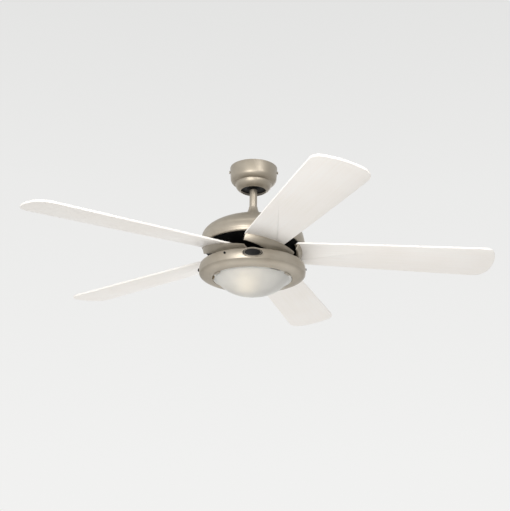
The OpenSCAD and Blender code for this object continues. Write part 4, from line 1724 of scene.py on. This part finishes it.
@dataclass
class Studio:
    """Pale floor, soft lights, a near white surround and the camera below the fan."""

    floor_drop: float = 2.45
    floor_half: float = 9.0
    camera_place: Vector = field(default_factory=lambda: Vector((0.0, -2.3840, -1.12145)))
    camera_right: Vector = field(
        default_factory=lambda: Vector((0.99990456, -0.00708113, 0.01186301))
    )
    camera_up: Vector = field(
        default_factory=lambda: Vector((-0.01356168, -0.33917395, 0.94062591))
    )
    lens_mm: float = 64.9

    def floor(self) -> None:
        """Lays the floor, a shallow tray whose far edges turn up a little."""
        count = 24
        verts, faces = [], []
        for i in range(count + 1):
            for j in range(count + 1):
                x = self.floor_half * (2 * i / count - 1)
                y = self.floor_half * (2 * j / count - 1)
                edge = max(abs(x), abs(y)) / self.floor_half
                verts.append((x, y, -self.floor_drop + 0.3 * edge**8))
        for i in range(count):
            for j in range(count):
                a = i * (count + 1) + j
                faces.append([a, a + count + 1, a + count + 2, a + 1])
        made = piece("floor", verts, faces)
        material = bpy.data.materials.new("matt_pale_floor")
        material.use_nodes = True
        tree = material.node_tree
        shader = next(n for n in tree.nodes if n.type == "BSDF_PRINCIPLED")
        tone = ramp(tree, noise(tree, 900, detail=2), [(0.35, "#EFEEEC"), (0.65, "#F4F3F1")])
        tree.links.new(tone, shader.inputs["Base Color"])
        shader.inputs["Roughness"].default_value = 0.9
        made.data.materials.append(material)

    def surround(self) -> None:
        """Sets the world: pale behind the fan, greyer overhead and on the front right."""
        world = bpy.data.worlds.new("pale_surround")
        bpy.context.scene.world = world
        world.use_nodes = True
        tree = world.node_tree
        tree.nodes.clear()
        coords = add_node(tree, "ShaderNodeTexCoord")
        parts = add_node(
            tree, "ShaderNodeSeparateXYZ", links={0: coords.outputs["Generated"]}
        )
        height = add_node(
            tree,
            "ShaderNodeMapRange",
            inputs={"From Min": -1.0, "From Max": 1.0},
            links={"Value": parts.outputs["Z"]},
        )
        stops = [
            (0.00, "#E6E6E4"),
            (0.48, "#F2F2F1"),
            (0.56, "#F1F1F0"),
            (0.70, "#EBEBEA"),
            (0.80, "#E3E3E2"),
            (0.90, "#C9C8C6"),
            (1.00, "#A9A8A6"),
        ]
        colour = ramp(tree, height.outputs["Result"], stops)
        side = add_node(
            tree,
            "ShaderNodeVectorMath",
            {"operation": "DOT_PRODUCT"},
            {1: (0.62, -0.78, 0.0)},
            {0: coords.outputs["Generated"]},
        )
        strength = add_node(
            tree,
            "ShaderNodeMapRange",
            inputs={"From Min": -0.2, "From Max": 0.9, "To Min": 1.0, "To Max": 0.62},
            links={"Value": side.outputs["Value"]},
        )
        background = add_node(
            tree,
            "ShaderNodeBackground",
            links={"Color": colour, "Strength": strength.outputs["Result"]},
        )
        add_node(
            tree, "ShaderNodeOutputWorld", links={"Surface": background.outputs["Background"]}
        )

    def soft_light(
        self, name: str, place: Vector, aim: Vector, size: Point, power: float, tint: str
    ) -> None:
        """Adds a soft box that the camera doesn't see.

        Args:
            name: The light's name.
            place: Its place.
            aim: The point that it faces.
            size: Its width and height.
            power: Its power in watts.
            tint: Its sRGB hex colour.
        """
        data = bpy.data.lights.new(name, "AREA")
        data.shape = "RECTANGLE"
        data.size, data.size_y = size
        data.energy = power
        data.color = linear(tint)[:3]
        made = bpy.data.objects.new(name, data)
        made.location = place
        made.rotation_euler = (aim - place).to_track_quat("-Z", "Y").to_euler()
        made.visible_camera = False
        bpy.context.scene.collection.objects.link(made)

    def lights(self) -> None:
        """Adds two front soft boxes, a weaker one behind and a wide one under the fan."""
        aim = Vector((0, 0, -0.22))
        self.soft_light(
            "front_left", Vector((-0.7, -2.1, -0.15)), aim, (1.1, 0.8), 34, "#FFFCF8"
        )
        self.soft_light(
            "front_right", Vector((1.0, -1.8, 0.6)), aim, (1.0, 0.8), 17, "#FFFCF8"
        )
        self.soft_light("back", Vector((0.4, 2.6, 0.3)), aim, (1.6, 1.2), 10, "#FAFBFF")
        self.soft_light(
            "under", Vector((0, 0.9, -2.2)), Vector((0, 0, -0.25)), (3.0, 2.4), 20, "#FFFDFB"
        )

    def camera(self) -> None:
        """Sets the camera in front of and below the fan, looking up at it."""
        data = bpy.data.cameras.new("camera")
        data.lens = self.lens_mm
        data.clip_start = 0.05
        data.clip_end = 60
        back = self.camera_right.cross(self.camera_up)
        turn = Matrix((self.camera_right, self.camera_up, back)).transposed().to_4x4()
        made = bpy.data.objects.new("camera", data)
        made.matrix_world = Matrix.Translation(self.camera_place) @ turn
        bpy.context.scene.collection.objects.link(made)
        bpy.context.scene.camera = made

    def build(self) -> None:
        """Makes the whole studio."""
        self.camera()
        self.floor()
        self.surround()
        self.lights()
        bpy.context.scene.view_settings.view_transform = "Standard"


def write_sizes() -> None:
    """Brings the view layer up to date."""
    bpy.context.view_layer.update()


def main() -> None:
    """Builds the studio and every sub-assembly, in order."""
    logging.basicConfig(level=logging.INFO, format="%(message)s")
    seat = BladeSeat()
    ring = LightHousing()
    parts = [
        Studio(),
        CeilingCanopy(),
        HangingRod(),
        TopHousing(),
        Blades(seat),
        BladeCarriers(seat),
        RotorCover(seat),
        ring,
        OvalBadge(ring),
        GlassBowl(),
        Lamp(),
        ReversingSwitch(),
        CarriedOver(),
    ]
    for part in parts:
        LOG.info("-- %s", type(part).__name__)
        part.build()
    write_sizes()


if __name__ == "__main__":
    main()
